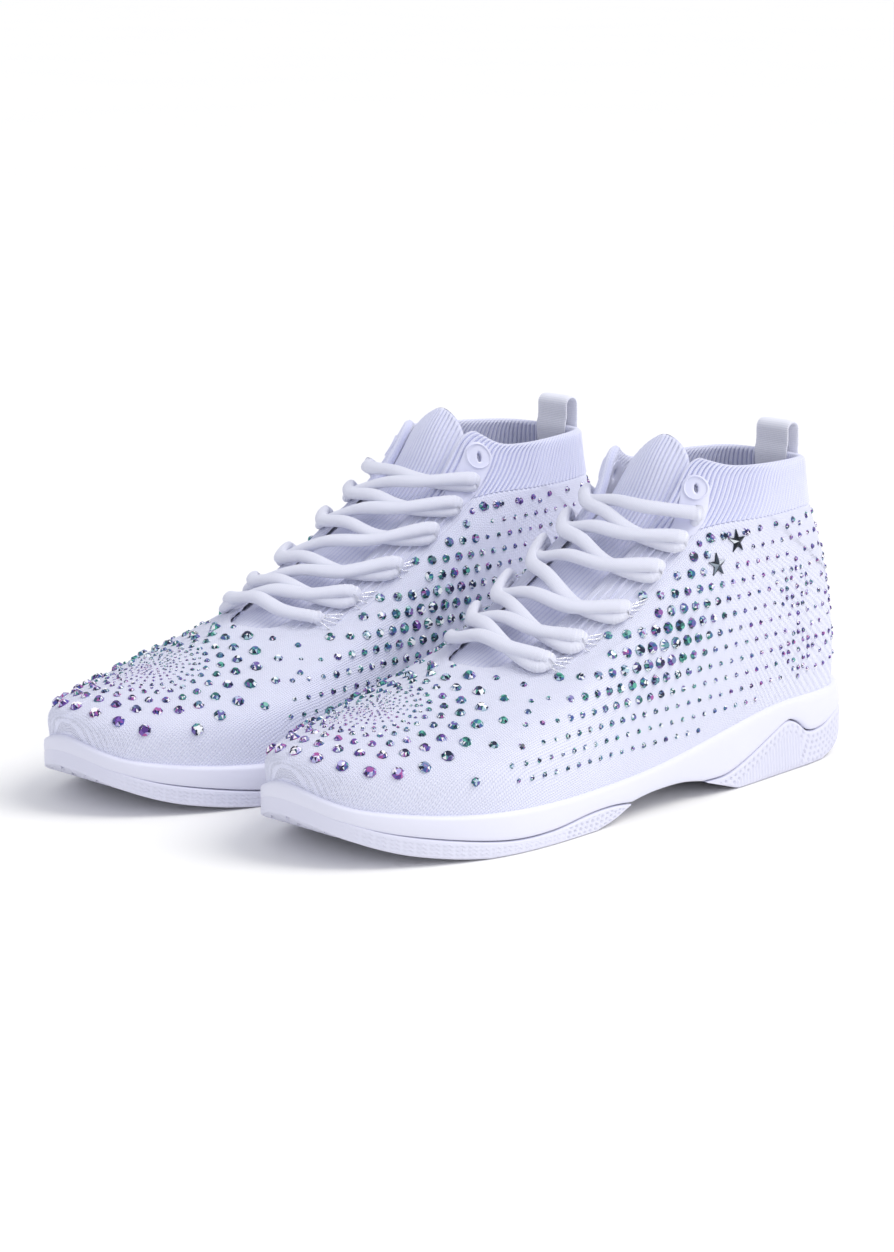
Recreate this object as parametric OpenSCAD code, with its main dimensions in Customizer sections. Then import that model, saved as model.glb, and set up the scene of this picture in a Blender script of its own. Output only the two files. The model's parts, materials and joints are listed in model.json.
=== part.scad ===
// A pair of knit high-top cheer shoes: left and right, standing side by side.
// Each shoe is built in its own frame: X to the outer side of the foot, toe
// towards -Y, heel at Y = 0, ground at Z = 0. Then it is mirrored into place.

/* [Pair] */
// Distance between the two shoes' centre lines
pair_gap = 105; // [100:1:140]
// How far the right shoe stands ahead of the left one
pair_step = 14; // [0:1:60]

/* [Last] */
// Length of the upper along the sole
last_l = 266; // [240:1:290]
// Width of the upper across the ball of the foot
last_w = 87; // [80:1:100]
// Height of the collar at the ankle
last_h = 118; // [105:1:130]

/* [Upper] */
// Thickness of the knit upper
knit_t = 2.2; // [1.6:0.1:3]
// Thickness of the rib knit collar
collar_t = 3.2; // [2.4:0.1:4]
// Thickness of the padded knit tongue
tongue_t = 2.6; // [2:0.1:4]
// Thickness of the heel counter and the toe puff
stiffener_t = 1.2; // [0.8:0.1:1.8]

/* [Sole] */
// How far the sole stands out round the upper
sole_lip = 2; // [1:0.5:3]
// Extra length of the sole behind the heel
heel_lip = 2.5; // [0:0.5:4]
// Thickness of the board that the upper is lasted to
board_t = 1.5; // [1:0.1:2.5]
// Thickness of the insole
insole_t = 4; // [2.5:0.5:6]

/* [Laces] */
// Width of the oval lace
lace_w = 5.2; // [4:0.1:6]
// Thickness of the oval lace
lace_t = 3; // [2:0.1:3.4]
// Thickness of the clear line of the lace loops
loop_line = 0.8; // [0.5:0.1:1.2]

/* [Pull tab] */
// Width of the pull tab strap
tab_w = 16; // [10:1:20]
// Thickness of the pull tab strap
tab_t = 1.5; // [1:0.1:2]
// Height of the loop above its stitched legs
tab_h = 10; // [8:0.5:14]

/* [Stones] */
// Diameter of the largest stones
stone_d = 4; // [3:0.1:5]
// Diameter of the smallest stones
chip_d = 1.5; // [1.2:0.1:2]
// Number of rays in the sunburst over the toes
rays = 24; // [16:2:32]
// Distance across the points of a star stud
star_d = 9; // [6:0.5:12]

/* [Hidden] */

white_knit = "GhostWhite";
white_rubber = "Lavender";

// The last, as seven stations on each of six levels. A level runs from the
// middle of the front (station 0) round the outer side to the heel (station 6).
// Level 0 is the edge where the upper meets the sole, level 4 is the foot of
// the collar and level 5 is its top edge.
LAST = [
    [[0, -265, 27], [26, -252, 19.5], [45, -205, 14.5], [40, -135, 15],
     [33, -60, 26], [22, -12, 26], [0, 1, 28]],
    [[0, -262, 37], [27, -249, 33], [47, -203, 32], [41, -138, 36],
     [34, -62, 40], [23, -13, 40], [0, 1, 41]],
    [[0, -232, 45], [22, -224, 42.5], [42, -190, 42.5], [40, -140, 51],
     [34, -66, 58], [23, -15, 58], [0, -2, 59]],
    [[0, -176, 61], [20, -171, 58], [31, -152, 61], [35, -118, 72],
     [32.5, -70, 79], [23, -20, 79], [0, -8, 80]],
    [[0, -112, 97], [14, -110, 96], [26, -99, 97], [30, -82, 99],
     [30.5, -58, 99], [21, -25, 99], [0, -15, 100]],
    [[0, -89, 126], [10, -87, 125], [20, -82, 122], [26, -72, 119],
     [28, -53, 118], [20, -27, 117], [0, -18, 116]]
];
// Width of the inner side of each level against its outer side
INNER = [0.93, 0.94, 0.94, 0.97, 1, 1];
// How far the collar's top edge dips at each station of the inner side
DIP = [0, 1, 2.5, 2.5, 1.5, 0, 0];

scale_x = last_w / 87;
scale_y = last_l / 266;
scale_z = last_h / 118;
top_level = 5;
collar_level = 4;
throat_level = 2.85;
length_centre = 131.75 * scale_y;
gap = 0.3;

function unit(a) = a / norm(a);
function spline(a, b, c, d, t) =
    0.5 * (2 * b + (c - a) * t + (2 * a - 5 * b + 4 * c - d) * t * t + (3 * b - a - 3 * c + d) * t * t * t);
function sized(p) = [p[0] * scale_x, p[1] * scale_y, p[2] * scale_z];
function inner_station(i, k) =
    [-LAST[i][k][0] * INNER[i], LAST[i][k][1], LAST[i][k][2] - (i == top_level ? DIP[k] : 0)];
CAGE = [for (i = [0:5]) concat(
    [for (k = [0:6]) sized(LAST[i][k])],
    [for (k = [5:-1:1]) sized(inner_station(i, k))]
)];

// A point of level i, with u from 0 to 12 round the foot
function level_point(i, u) =
    let (f = floor(u), k = ((f % 12) + 12) % 12)
    spline(CAGE[i][(k + 11) % 12], CAGE[i][k], CAGE[i][(k + 1) % 12], CAGE[i][(k + 2) % 12], u - f);
// A point of the foot's skin, with v from 0 at the sole to 5 at the collar's top
function skin(u, v) =
    let (
        i = min(max(floor(v), 0), 4),
        b = level_point(i, u),
        c = level_point(i + 1, u),
        a = i > 0 ? level_point(i - 1, u) : 2 * b - c,
        d = i < 4 ? level_point(i + 2, u) : 2 * c - b
    )
    spline(a, b, c, d, v - i);
function outward(u, v) =
    let (w = min(max(v, 0.03), 4.97))
    unit(cross(skin(u + 0.03, v) - skin(u - 0.03, v), skin(u, w + 0.03) - skin(u, w - 0.03)));
// A point at a height d above the skin
function over(u, v, d) = skin(u, v) + d * outward(u, v);
// Half the throat's opening at level v, in u
function throat(v) = v <= throat_level ? 0 : 0.62 + 0.45 * (v - throat_level);

// ---- placing ----

module left() {
    translate([pair_gap / 2, length_centre + pair_step / 2, 0]) children();
}
module right() {
    translate([-pair_gap / 2, length_centre - pair_step / 2, 0]) mirror([1, 0, 0]) children();
}

// ---- shells that follow the last ----

// A closed shell between two heights over the skin. rows holds the levels,
// from and to give the first and last u at a level. Where from is 0 and to is
// 12 the two edges are one seam.
module skin_shell(rows, columns, from, to, low, high) {
    last_row = len(rows) - 1;
    function u_at(i, j) = from(rows[i]) + (to(rows[i]) - from(rows[i])) * j / columns;
    function seam(i) = from(rows[i]) == 0 && to(rows[i]) == 12;
    function id(layer, i, j) =
        layer * (last_row + 1) * (columns + 1) + i * (columns + 1) + (seam(i) && j == columns ? 0 : j);
    points = [for (d = [high, low], i = [0:last_row], j = [0:columns]) over(u_at(i, j), rows[i], d)];
    faces = concat(
        [for (i = [0:last_row - 1], j = [0:columns - 1], k = [0, 1])
            k == 0 ? [id(0, i, j), id(0, i + 1, j), id(0, i + 1, j + 1)]
                   : [id(0, i, j), id(0, i + 1, j + 1), id(0, i, j + 1)]],
        [for (i = [0:last_row - 1], j = [0:columns - 1], k = [0, 1])
            k == 0 ? [id(1, i, j), id(1, i + 1, j + 1), id(1, i + 1, j)]
                   : [id(1, i, j), id(1, i, j + 1), id(1, i + 1, j + 1)]],
        [for (j = [0:columns - 1], k = [0, 1])
            k == 0 ? [id(0, 0, j), id(0, 0, j + 1), id(1, 0, j + 1)]
                   : [id(0, 0, j), id(1, 0, j + 1), id(1, 0, j)]],
        [for (j = [0:columns - 1], k = [0, 1])
            k == 0 ? [id(0, last_row, j + 1), id(0, last_row, j), id(1, last_row, j)]
                   : [id(0, last_row, j + 1), id(1, last_row, j), id(1, last_row, j + 1)]],
        [for (i = [0:last_row - 1], k = [0, 1]) if (!(seam(i) && seam(i + 1)))
            k == 0 ? [id(0, i + 1, 0), id(0, i, 0), id(1, i, 0)]
                   : [id(0, i + 1, 0), id(1, i, 0), id(1, i + 1, 0)]],
        [for (i = [0:last_row - 1], k = [0, 1]) if (!(seam(i) && seam(i + 1)))
            k == 0 ? [id(0, i, columns), id(0, i + 1, columns), id(1, i + 1, columns)]
                   : [id(0, i, columns), id(1, i + 1, columns), id(1, i, columns)]]
    );
    polyhedron(points, faces, convexity = 10);
}

module knit_upper() {
    rows = [0, 0.3, 0.65, 1, 1.35, 1.7, 2.05, 2.4, 2.65, throat_level, 2.95, 3.2, 3.5, 3.75, collar_level];
    color(white_knit)
    skin_shell(rows, 40, function (v) throat(v), function (v) 12 - throat(v), -knit_t, 0);
}

module rib_collar() {
    rows = [collar_level + 0.03, 4.25, 4.5, 4.75, top_level];
    color(white_knit)
    skin_shell(rows, 40, function (v) throat(v), function (v) 12 - throat(v), -collar_t, 0);
}

// The tongue lies inside the throat's edges and stands a little above the collar
module tongue() {
    high = -collar_t - gap;
    half = function (v) 0.75 + 0.4 * (v - 2.7) - 0.5 * max(v - 4.7, 0);
    rows = [2.7, 2.95, 3.2, 3.5, 3.8, 4.1, 4.4, 4.7, 4.95, 5.12];
    color(white_knit)
    skin_shell(rows, 10, function (v) -half(v), function (v) half(v), high - tongue_t, high);
}

// The stiffeners' facets are coarser than the knit's, so they stand further off
stiffener_gap = 0.7;
module heel_counter() {
    high = -knit_t - stiffener_gap;
    color("Gainsboro")
    skin_shell([0.25, 0.8, 1.4, 2, 2.6], 14, function (v) 4 + 0.25 * v, function (v) 8 - 0.25 * v,
        high - stiffener_t, high);
}

module toe_puff() {
    high = -knit_t - stiffener_gap;
    color("Gainsboro")
    skin_shell([0.3, 0.6, 0.9, 1.2, 1.5], 14, function (v) -1.9 + 0.45 * v, function (v) 1.9 - 0.45 * v,
        high - stiffener_t, high);
}

// Welded patches round the free top eyelet of each side
module eyelet_patches() {
    middle = 2.05;
    color("White")
    for (side = [-1, 1])
        skin_shell([4.36, 4.45, 4.55, 4.65, 4.74], 5,
            function (v) side * middle - 0.24, function (v) side * middle + 0.24, 0.1, 0.6);
}

// ---- sole ----

sole_steps = 60;
// Outline of the sole, a lip outside the edge of the upper
function sole_outline(lip) = [for (j = [0:sole_steps - 1])
    let (
        u = 12 * j / sole_steps,
        p = skin(u, 0),
        t = unit(skin(u + 0.05, 0) - skin(u - 0.05, 0)),
        rear = max(0, 1 + p[1] / 60)
    )
    [p[0] + lip * t[1], p[1] - lip * t[0] + (lip > 0 ? heel_lip * rear : 0)]];
// Height of the edge of the upper along the shoe, from beyond the toe to
// behind the heel, moved up by rise
function edge_line(rise) = concat(
    [[-280 * scale_y, 30 * scale_z + rise]],
    [for (u = [0:0.25:6]) let (p = skin(u, 0)) [p[1], p[2] + rise]],
    [[20, 29 * scale_z + rise]]
);
function reversed(list) = [for (i = [len(list) - 1:-1:0]) list[i]];
// A smooth line through hand-set [y, z] points, sized with the last and moved
// up by rise
function side_line(pts, steps, rise = 0) =
    let (last = len(pts) - 1)
    [for (i = [0:last - 1], k = [0:i < last - 1 ? steps - 1 : steps])
        let (p = spline(pts[max(i - 1, 0)], pts[i], pts[i + 1], pts[min(i + 2, last)], k / steps))
        [p[0] * scale_y, p[1] * scale_z + rise]];

// Underside of the shoe and the line where the rubber meets the foam
TREAD_FRONT = [[-275, 26], [-268, 18.5], [-258, 11], [-243, 5], [-226, 1.6], [-212, 0]];
TREAD_BALL = [[-160, 0], [-150, 2.2], [-141, 6]];
SEAM_FRONT = [[-275, 34], [-264, 22], [-255, 16.2], [-239, 11], [-207, 5.6], [-185, 5], [-165, 7],
    [-152, 7.4], [-141, 6.5]];
ARCH = [[-140, 6.6], [-128, 8], [-112, 8.2], [-99, 6.3]];
TREAD_REAR = [[-98, 6], [-88, 3], [-78, 0]];
TREAD_HEEL = [[-22, 0], [-12, 2.4], [-2, 7.5], [10, 16]];
SEAM_HEEL = [[-98, 6.2], [-86, 6.6], [-73, 10.5], [-58, 16.5], [-48, 20], [-41, 18.4], [-33, 13.6],
    [-23, 13.4], [-8, 17.2], [10, 19]];
seam_gap = 0.05;
// Wider and higher than anything it cuts
reach = 200;

// A side profile as a prism across the shoe
module side_prism(profile) {
    rotate([90, 0, 90]) translate([0, 0, -reach / 2]) linear_extrude(height = reach) polygon(profile);
}
// The part of the sole's outline prism that lies inside a side profile
module sole_slice(outline, profile) {
    intersection() {
        translate([0, 0, -1]) linear_extrude(height = reach / 2) polygon(outline);
        side_prism(profile);
    }
}

module outsole_forefoot() {
    color(white_rubber)
    difference() {
        sole_slice(sole_outline(sole_lip), concat(
            side_line(TREAD_FRONT, 2), side_line(TREAD_BALL, 2),
            reversed(side_line(SEAM_FRONT, 3, -seam_gap))
        ));
        // The upper stands inside the toe bumper
        side_prism(concat(edge_line(0), [[reach / 10, reach / 2], [-1.6 * reach, reach / 2]]));
    }
}

module outsole_heel() {
    color(white_rubber)
    sole_slice(sole_outline(sole_lip), concat(
        side_line(TREAD_REAR, 2), side_line(TREAD_HEEL, 2),
        reversed(side_line(SEAM_HEEL, 4, -seam_gap))
    ));
}

module midsole() {
    color(white_knit)
    sole_slice(sole_outline(sole_lip - 0.5), concat(
        side_line(SEAM_FRONT, 3, seam_gap),
        side_line(ARCH, 3),
        side_line(SEAM_HEEL, 4, seam_gap),
        reversed(edge_line(0))
    ));
}

// A layer inside the upper, on top of the midsole
module inner_layer(inset, low, high) {
    sole_slice(sole_outline(-inset), concat(edge_line(low), reversed(edge_line(high))));
}

module lasting_board() {
    color("BurlyWood") inner_layer(knit_t + stiffener_t + 2, gap, gap + board_t);
}

module insole() {
    low = gap + board_t + 0.2;
    color("WhiteSmoke") inner_layer(knit_t + stiffener_t + 3, low, low + insole_t);
}

// ---- laces ----

// Where the lace turns round the outer and the inner edge, row by row from the
// top: [u, v] on the skin. The lace runs from row to row as one zigzag.
OUTER_TURNS = [[2.1, 4.16], [2.05, 3.88], [2, 3.64], [2, 3.33], [1.6, 3.14], [1.35, 2.97]];
INNER_TURNS = [[-2.1, 4.19], [-2.05, 3.9], [-2, 3.66], [-1.85, 3.4], [-1.5, 3.2], [-1.25, 3.03]];
// Heights of the lace's middle over the skin
lace_under = lace_t / 2 + 0.2;
lace_top = lace_under + lace_t + 0.2;
lace_rise = 1.2;
instep = unit([0, 83, 58]);

// The three points of one turn: in, round, out. The strand that goes on top
// is the one along the row.
function turn(k) =
    let (
        outer = k % 2 == 0,
        row = floor(k / 2),
        uv = outer ? OUTER_TURNS[row] : INNER_TURNS[row],
        side = outer ? 1 : -1,
        inside = uv[0] - side * 0.12
    )
    [
        [inside, uv[1], lace_under],
        [uv[0] + side * 0.08, uv[1], (lace_under + lace_top) / 2],
        [inside, uv[1], lace_top]
    ];
// Points of the strand between two turns, raised in the middle
function strand(a, b, rise) = [for (t = [0.25, 0.5, 0.75])
    [a[0] + (b[0] - a[0]) * t, a[1] + (b[1] - a[1]) * t + rise * 0.035 * sin(180 * t),
        a[2] + (b[2] - a[2]) * t + rise * sin(180 * t)]];
LACE_UVD = concat(
    [[2.1, 4.24, 4.6]],
    [for (k = [0:11], p = concat(
        k == 0 ? [[2, 4.16, lace_top]] : turn(k),
        k < 11 ? strand(turn(k)[2], turn(k + 1)[0], lace_rise) : []
    )) p]
);
LACE_ROUTE = [for (p = LACE_UVD) over(p[0], p[1], p[2])];

// A tube of oval section along a list of points
module oval_tube(route, width, height, sides, across) {
    last = len(route) - 1;
    function along(i) = unit(route[min(i + 1, last)] - route[max(i - 1, 0)]);
    points = [for (i = [0:last])
        let (t = along(i), n = unit(cross(across, t)), b = cross(t, n))
        for (j = [0:sides - 1])
            route[i] + width / 2 * cos(360 * j / sides) * b + height / 2 * sin(360 * j / sides) * n];
    faces = concat(
        [for (i = [0:last - 1], j = [0:sides - 1], k = [0, 1])
            let (a = i * sides + j, b = i * sides + (j + 1) % sides)
            k == 0 ? [a, a + sides, b + sides] : [a, b + sides, b]],
        [[for (j = [0:sides - 1]) j]],
        [[for (j = [sides - 1:-1:0]) last * sides + j]]
    );
    polyhedron(points, faces, convexity = 10);
}

module lace() {
    color("White") oval_tube(LACE_ROUTE, lace_w, lace_t, 8, instep);
}

// Clear loops that hold the lace at the three lowest rows of each side
module lace_loops() {
    color("LightSteelBlue", 0.6)
    for (turns = [OUTER_TURNS, INNER_TURNS], row = [3:5]) {
        uv = turns[row];
        side = sign(uv[0]);
        oval_tube([for (a = [0:36:180])
            over(uv[0] + side * (0.14 + 0.2 * sin(a)), uv[1] - 0.07 * cos(a), 0.6)],
            loop_line, loop_line, 6, outward(uv[0], uv[1]));
    }
}

// ---- pull tab ----

rim = skin(6, top_level);
tab_hinge = [0, rim[1] - collar_t / 2, rim[2] + 1];
tab_inner = collar_t / 2 + 0.6;
tab_outer = tab_inner + tab_t;

// Two straps sewn to the back of the collar, outside and inside
module pull_tab_legs() {
    lean = atan2(3, 16);
    outer_leg = 17;
    inner_leg = 11;
    // The collar curves, so the flat inner strap stands this far off it
    stand_off = 1.3;
    color("White")
    translate([0, tab_hinge[1], rim[2] - 1.4]) rotate([lean, 0, 0]) {
        translate([-tab_w / 2, tab_inner, -outer_leg]) cube([tab_w, tab_t, outer_leg]);
        translate([-tab_w / 2, -tab_outer - stand_off, -inner_leg]) cube([tab_w, tab_t, inner_leg]);
    }
}

// The free loop above the collar
module pull_tab_loop() {
    straight = tab_h - tab_outer;
    color("White")
    translate(tab_hinge) translate([0, 0, 1]) rotate([90, 0, 90]) translate([0, 0, -tab_w / 2])
        linear_extrude(height = tab_w) difference() {
            union() {
                translate([-tab_outer, 0]) square([2 * tab_outer, straight]);
                translate([0, straight]) circle(r = tab_outer, $fn = 48);
            }
            translate([-tab_inner, -1]) square([2 * tab_inner, straight + 1]);
            translate([0, straight]) circle(r = tab_inner, $fn = 48);
            translate([-tab_outer - 1, -tab_outer - 2]) square([2 * tab_outer + 2, tab_outer + 2]);
        }
}

// ---- stones ----

stone_lift = 0.3;

// The [u, v] whose skin point has the wanted two coordinates: axes [0, 1] look
// from above, axes [1, 2] look from the side. It steps from a first guess.
function find_uv(goal, axes, guess, steps) =
    steps == 0 ? guess :
    let (
        step = 0.02,
        p = skin(guess[0], guess[1]),
        du = (skin(guess[0] + step, guess[1]) - p) / step,
        dv = (skin(guess[0], guess[1] + step) - p) / step,
        ex = goal[0] - p[axes[0]],
        ey = goal[1] - p[axes[1]],
        det = du[axes[0]] * dv[axes[1]] - du[axes[1]] * dv[axes[0]],
        mu = (ex * dv[axes[1]] - ey * dv[axes[0]]) / det,
        mv = (du[axes[0]] * ey - du[axes[1]] * ex) / det
    )
    find_uv(goal, axes,
        [guess[0] + min(max(mu, -0.6), 0.6), min(max(guess[1] + min(max(mv, -0.6), 0.6), 0.05), 4.9)],
        steps - 1);

// The body of one stone, a square prism standing on the skin
module stone(uv, d) {
    n = outward(uv[0], uv[1]);
    translate(over(uv[0], uv[1], stone_lift))
        rotate([0, acos(n[2]), atan2(n[1], n[0])])
            cylinder(h = d * 0.35, d = d, $fn = 4);
}

// The sunburst: rays of stones round a point above the toes, small near the
// middle, largest halfway out, small again at the end
burst = [0, -224 * scale_y];
BURST_RINGS = [
    [14, 1.5], [18.5, 2], [23.5, 2.7], [29.5, 3.4],
    [36.5, 4], [44.5, 3], [52.5, 2.2], [60, 1.7]
];
module toe_stones() {
    color("MediumSlateBlue")
    for (k = [0:rays - 1], r = [0:len(BURST_RINGS) - 1]) {
        bearing = 360 * (k + (r % 2) / 2) / rays;
        radius = BURST_RINGS[r][0];
        goal = burst + radius * [sin(bearing), -cos(bearing)];
        uv = find_uv(goal, [0, 1], [sin(bearing) * radius / 24, 2.15 - cos(bearing) * radius / 45], 5);
        miss = norm([for (i = [0, 1]) skin(uv[0], uv[1])[i] - goal[i]]);
        if (miss < 0.5 && uv[1] > 0.55 && uv[1] < 2.8 && abs(uv[0]) < 2.3)
            stone(uv, max(chip_d, BURST_RINGS[r][1] * stone_d / 4));
    }
}

// Places that the side field leaves free: the sunburst, the lace loops and the stars
STARS = [[3.55, 3.67], [3.45, 3.38]];
loop_clear = 5;
function loop_middle(side, row) =
    let (uv = side > 0 ? OUTER_TURNS[row] : INNER_TURNS[row])
    skin(uv[0] + 0.2 * side, uv[1]);
function free_place(p, side, size) =
    norm([p[0] - burst[0], p[1] - burst[1]]) > 63 * scale_y
    && min([for (row = [3:5]) norm(p - loop_middle(side, row))]) > loop_clear + size / 2
    && min([for (uv = STARS) norm(p - skin(uv[0] * side, uv[1]))]) > (star_d + size) / 2 + 0.5;
// The staggered field on one side, largest along a band that climbs to the ankle
row_pitch = 6.2;
module side_stones(side, rear) {
    color("MediumSeaGreen")
    for (row = [0:12], k = [0:26]) {
        y = -176 + row_pitch * (k + (row % 2) / 2);
        z = 26 + row_pitch * 0.92 * row;
        guess = [side * (2.4 + (y + 176) / 45), min((z - 20) / 20, 3.8)];
        uv = find_uv([y * scale_y, z * scale_z], [1, 2], guess, 6);
        p = skin(uv[0], uv[1]);
        miss = norm([p[1] - y * scale_y, p[2] - z * scale_z]);
        off = z - (52 + 0.3 * (y + 150));
        size = stone_d * exp(-pow(off / 26, 2) - pow((y + 122) / 52, 2));
        clear = z < 50 + 0.52 * (y + 176) && uv[1] > 0.5 && uv[1] < 3.85;
        if (miss < 0.5 && clear && y < rear && p[0] * side > 0 && free_place(p, side, size))
            stone(uv, max(chip_d, size));
    }
}

module outer_side_stones() { side_stones(1, -68); }
module inner_side_stones() { side_stones(-1, -68); }

// Four filled lozenges across the heel, and a row under the collar
module heel_stones() {
    color("MediumOrchid") {
        for (side = [-1, 1], level = [0, 1], a = [-3:3], b = [-3:3])
            if (abs(a) + abs(b) <= 3 && abs(a) + abs(b) != 1) {
                y = -40 + 3.4 * a;
                z = 46 + 24 * level + 3.4 * b;
                uv = find_uv([y * scale_y, z * scale_z], [1, 2], [side * 4.6, 1.3 + level], 6);
                stone(uv, chip_d + 0.3);
            }
        for (u = [2.7:0.3:9.3])
            if (abs(u - 6) > 0.5)
                stone([u, 3.8], 2.2);
    }
}

// Two star studs on the outer side of the ankle
module star_studs() {
    color("SlateGray")
    for (uv = STARS) {
        n = outward(uv[0], uv[1]);
        translate(over(uv[0], uv[1], stone_lift + 0.2))
            rotate([0, acos(n[2]), atan2(n[1], n[0])])
                linear_extrude(height = 1.2)
                    polygon([for (i = [0:9]) star_d / (i % 2 == 0 ? 2 : 5) * [cos(36 * i), sin(36 * i)]]);
    }
}

left() outsole_forefoot();  // left_outsole_forefoot
left() outsole_heel();  // left_outsole_heel
left() midsole();  // left_midsole
left() lasting_board();  // left_lasting_board
left() insole();  // left_insole
left() heel_counter();  // left_heel_counter
left() toe_puff();  // left_toe_puff
left() knit_upper();  // left_knit_upper
left() rib_collar();  // left_rib_collar
left() tongue();  // left_tongue
left() eyelet_patches();  // left_eyelet_patches
left() lace_loops();  // left_lace_loops
left() lace();  // left_lace
left() pull_tab_legs();  // left_pull_tab_legs
left() pull_tab_loop();  // left_pull_tab_loop
left() toe_stones();  // left_toe_stones
left() outer_side_stones();  // left_outer_side_stones
left() inner_side_stones();  // left_inner_side_stones
left() heel_stones();  // left_heel_stones
left() star_studs();  // left_star_studs
right() outsole_forefoot();  // right_outsole_forefoot
right() outsole_heel();  // right_outsole_heel
right() midsole();  // right_midsole
right() lasting_board();  // right_lasting_board
right() insole();  // right_insole
right() heel_counter();  // right_heel_counter
right() toe_puff();  // right_toe_puff
right() knit_upper();  // right_knit_upper
right() rib_collar();  // right_rib_collar
right() tongue();  // right_tongue
right() eyelet_patches();  // right_eyelet_patches
right() lace_loops();  // right_lace_loops
right() lace();  // right_lace
right() pull_tab_legs();  // right_pull_tab_legs
right() pull_tab_loop();  // right_pull_tab_loop
right() toe_stones();  // right_toe_stones
right() outer_side_stones();  // right_outer_side_stones
right() inner_side_stones();  // right_inner_side_stones
right() heel_stones();  // right_heel_stones
right() star_studs();  // right_star_studs
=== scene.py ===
# A pair of knit high-top cheer shoes, studded with flat-back crystals.
# Each shoe is shaped in millimetres in its own frame: X to the outer side of
# the foot, toe towards -Y, heel at Y = 0, ground at Z = 0. Each piece is worked
# out once, for the left shoe, and mirrored for the right one.
import json
import math

import bmesh
import bpy
import numpy as np
from mathutils import Matrix, Vector
from mathutils.bvhtree import BVHTree
from mathutils.kdtree import KDTree


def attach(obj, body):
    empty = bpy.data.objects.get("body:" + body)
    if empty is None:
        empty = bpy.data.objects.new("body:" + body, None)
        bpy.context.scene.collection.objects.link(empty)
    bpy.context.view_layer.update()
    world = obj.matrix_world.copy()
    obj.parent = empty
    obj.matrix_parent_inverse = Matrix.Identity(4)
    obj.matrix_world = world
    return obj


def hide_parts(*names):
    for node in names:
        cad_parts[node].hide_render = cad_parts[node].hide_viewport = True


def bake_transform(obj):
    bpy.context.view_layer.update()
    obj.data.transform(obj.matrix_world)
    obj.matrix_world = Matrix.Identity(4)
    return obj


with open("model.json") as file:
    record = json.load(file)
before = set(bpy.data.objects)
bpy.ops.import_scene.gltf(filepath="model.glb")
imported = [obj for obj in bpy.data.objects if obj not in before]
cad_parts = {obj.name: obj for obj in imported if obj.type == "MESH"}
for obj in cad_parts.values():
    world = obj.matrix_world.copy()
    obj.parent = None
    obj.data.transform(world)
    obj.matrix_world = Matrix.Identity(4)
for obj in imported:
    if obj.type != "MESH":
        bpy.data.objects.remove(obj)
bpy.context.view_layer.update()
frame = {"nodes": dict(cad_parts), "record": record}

# --- Camera, floor and lights ---
# A long lens looks down a little on the outer side of the left shoe's toe. The
# shoes stand on a wide white floor under soft light from above and behind.
azimuth = math.radians(47.3)
elevation = math.radians(11.7)
aim = Vector((-0.0054, 0.0015, 0.0551))
camera_distance = 1.300
back = Vector((
    math.sin(azimuth) * math.cos(elevation),
    -math.cos(azimuth) * math.cos(elevation),
    math.sin(elevation),
))
camera = bpy.data.objects.new("camera", bpy.data.cameras.new("camera"))
camera.data.lens = 100
camera.data.sensor_width = 36
camera.data.clip_end = 200
camera.location = aim + camera_distance * back
camera.rotation_euler = (-back).to_track_quat("-Z", "Y").to_euler()
bpy.context.scene.collection.objects.link(camera)
bpy.context.scene.camera = camera
bpy.context.scene.view_settings.view_transform = "Standard"


class Finish:
    """A material's node tree, built a node at a time."""

    def __init__(self, name):
        self.material = bpy.data.materials.new(name)
        self.material.use_nodes = True
        self.tree = self.material.node_tree
        self.shader = self.tree.nodes["Principled BSDF"]

    def node(self, kind, inputs=None, **settings):
        made = self.tree.nodes.new(kind)
        for name, value in settings.items():
            setattr(made, name, value)
        for key, value in (inputs or {}).items():
            self.put(made.inputs[key], value)
        return made

    def put(self, socket, value):
        """Links a socket to another one, or sets it to a number or color."""
        if isinstance(value, bpy.types.NodeSocket):
            self.tree.links.new(value, socket)
        else:
            socket.default_value = value

    def math(self, operation, *values):
        made = self.node("ShaderNodeMath", dict(enumerate(values)), operation=operation)
        return made.outputs[0]

    def noise(self, scale, detail=2.0, place=None, roughness=0.5):
        where = place or self.node("ShaderNodeTexCoord").outputs["Object"]
        made = self.node(
            "ShaderNodeTexNoise",
            {"Vector": where, "Scale": scale, "Detail": detail, "Roughness": roughness},
        )
        return made.outputs["Fac"]

    def mapped(self, value, low, high, to_low, to_high):
        """A value taken from one range to another, and clamped to it."""
        made = self.node(
            "ShaderNodeMapRange",
            {"Value": value, "From Min": low, "From Max": high, "To Min": to_low, "To Max": to_high},
        )
        return made.outputs["Result"]

    def mix(self, share, a, b):
        made = self.node("ShaderNodeMix", data_type="RGBA")
        self.put(made.inputs["Factor"], share)
        self.put(made.inputs["A"], (*a, 1) if isinstance(a, tuple) else a)
        self.put(made.inputs["B"], (*b, 1) if isinstance(b, tuple) else b)
        return made.outputs["Result"]

    def uv(self):
        made = self.node("ShaderNodeSeparateXYZ", {0: self.node("ShaderNodeUVMap").outputs[0]})
        return made.outputs[0], made.outputs[1]

    def surface(self, color=None, bump=None, depth=0.0001, strength=1.0, **values):
        if color is not None:
            self.put(self.shader.inputs["Base Color"], (*color, 1) if isinstance(color, tuple) else color)
        for name, value in values.items():
            self.put(self.shader.inputs[SOCKETS.get(name, name.capitalize())], value)
        if bump is not None:
            made = self.node("ShaderNodeBump", {"Height": bump, "Distance": depth, "Strength": strength})
            self.put(self.shader.inputs["Normal"], made.outputs[0])
        return self.material


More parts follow.
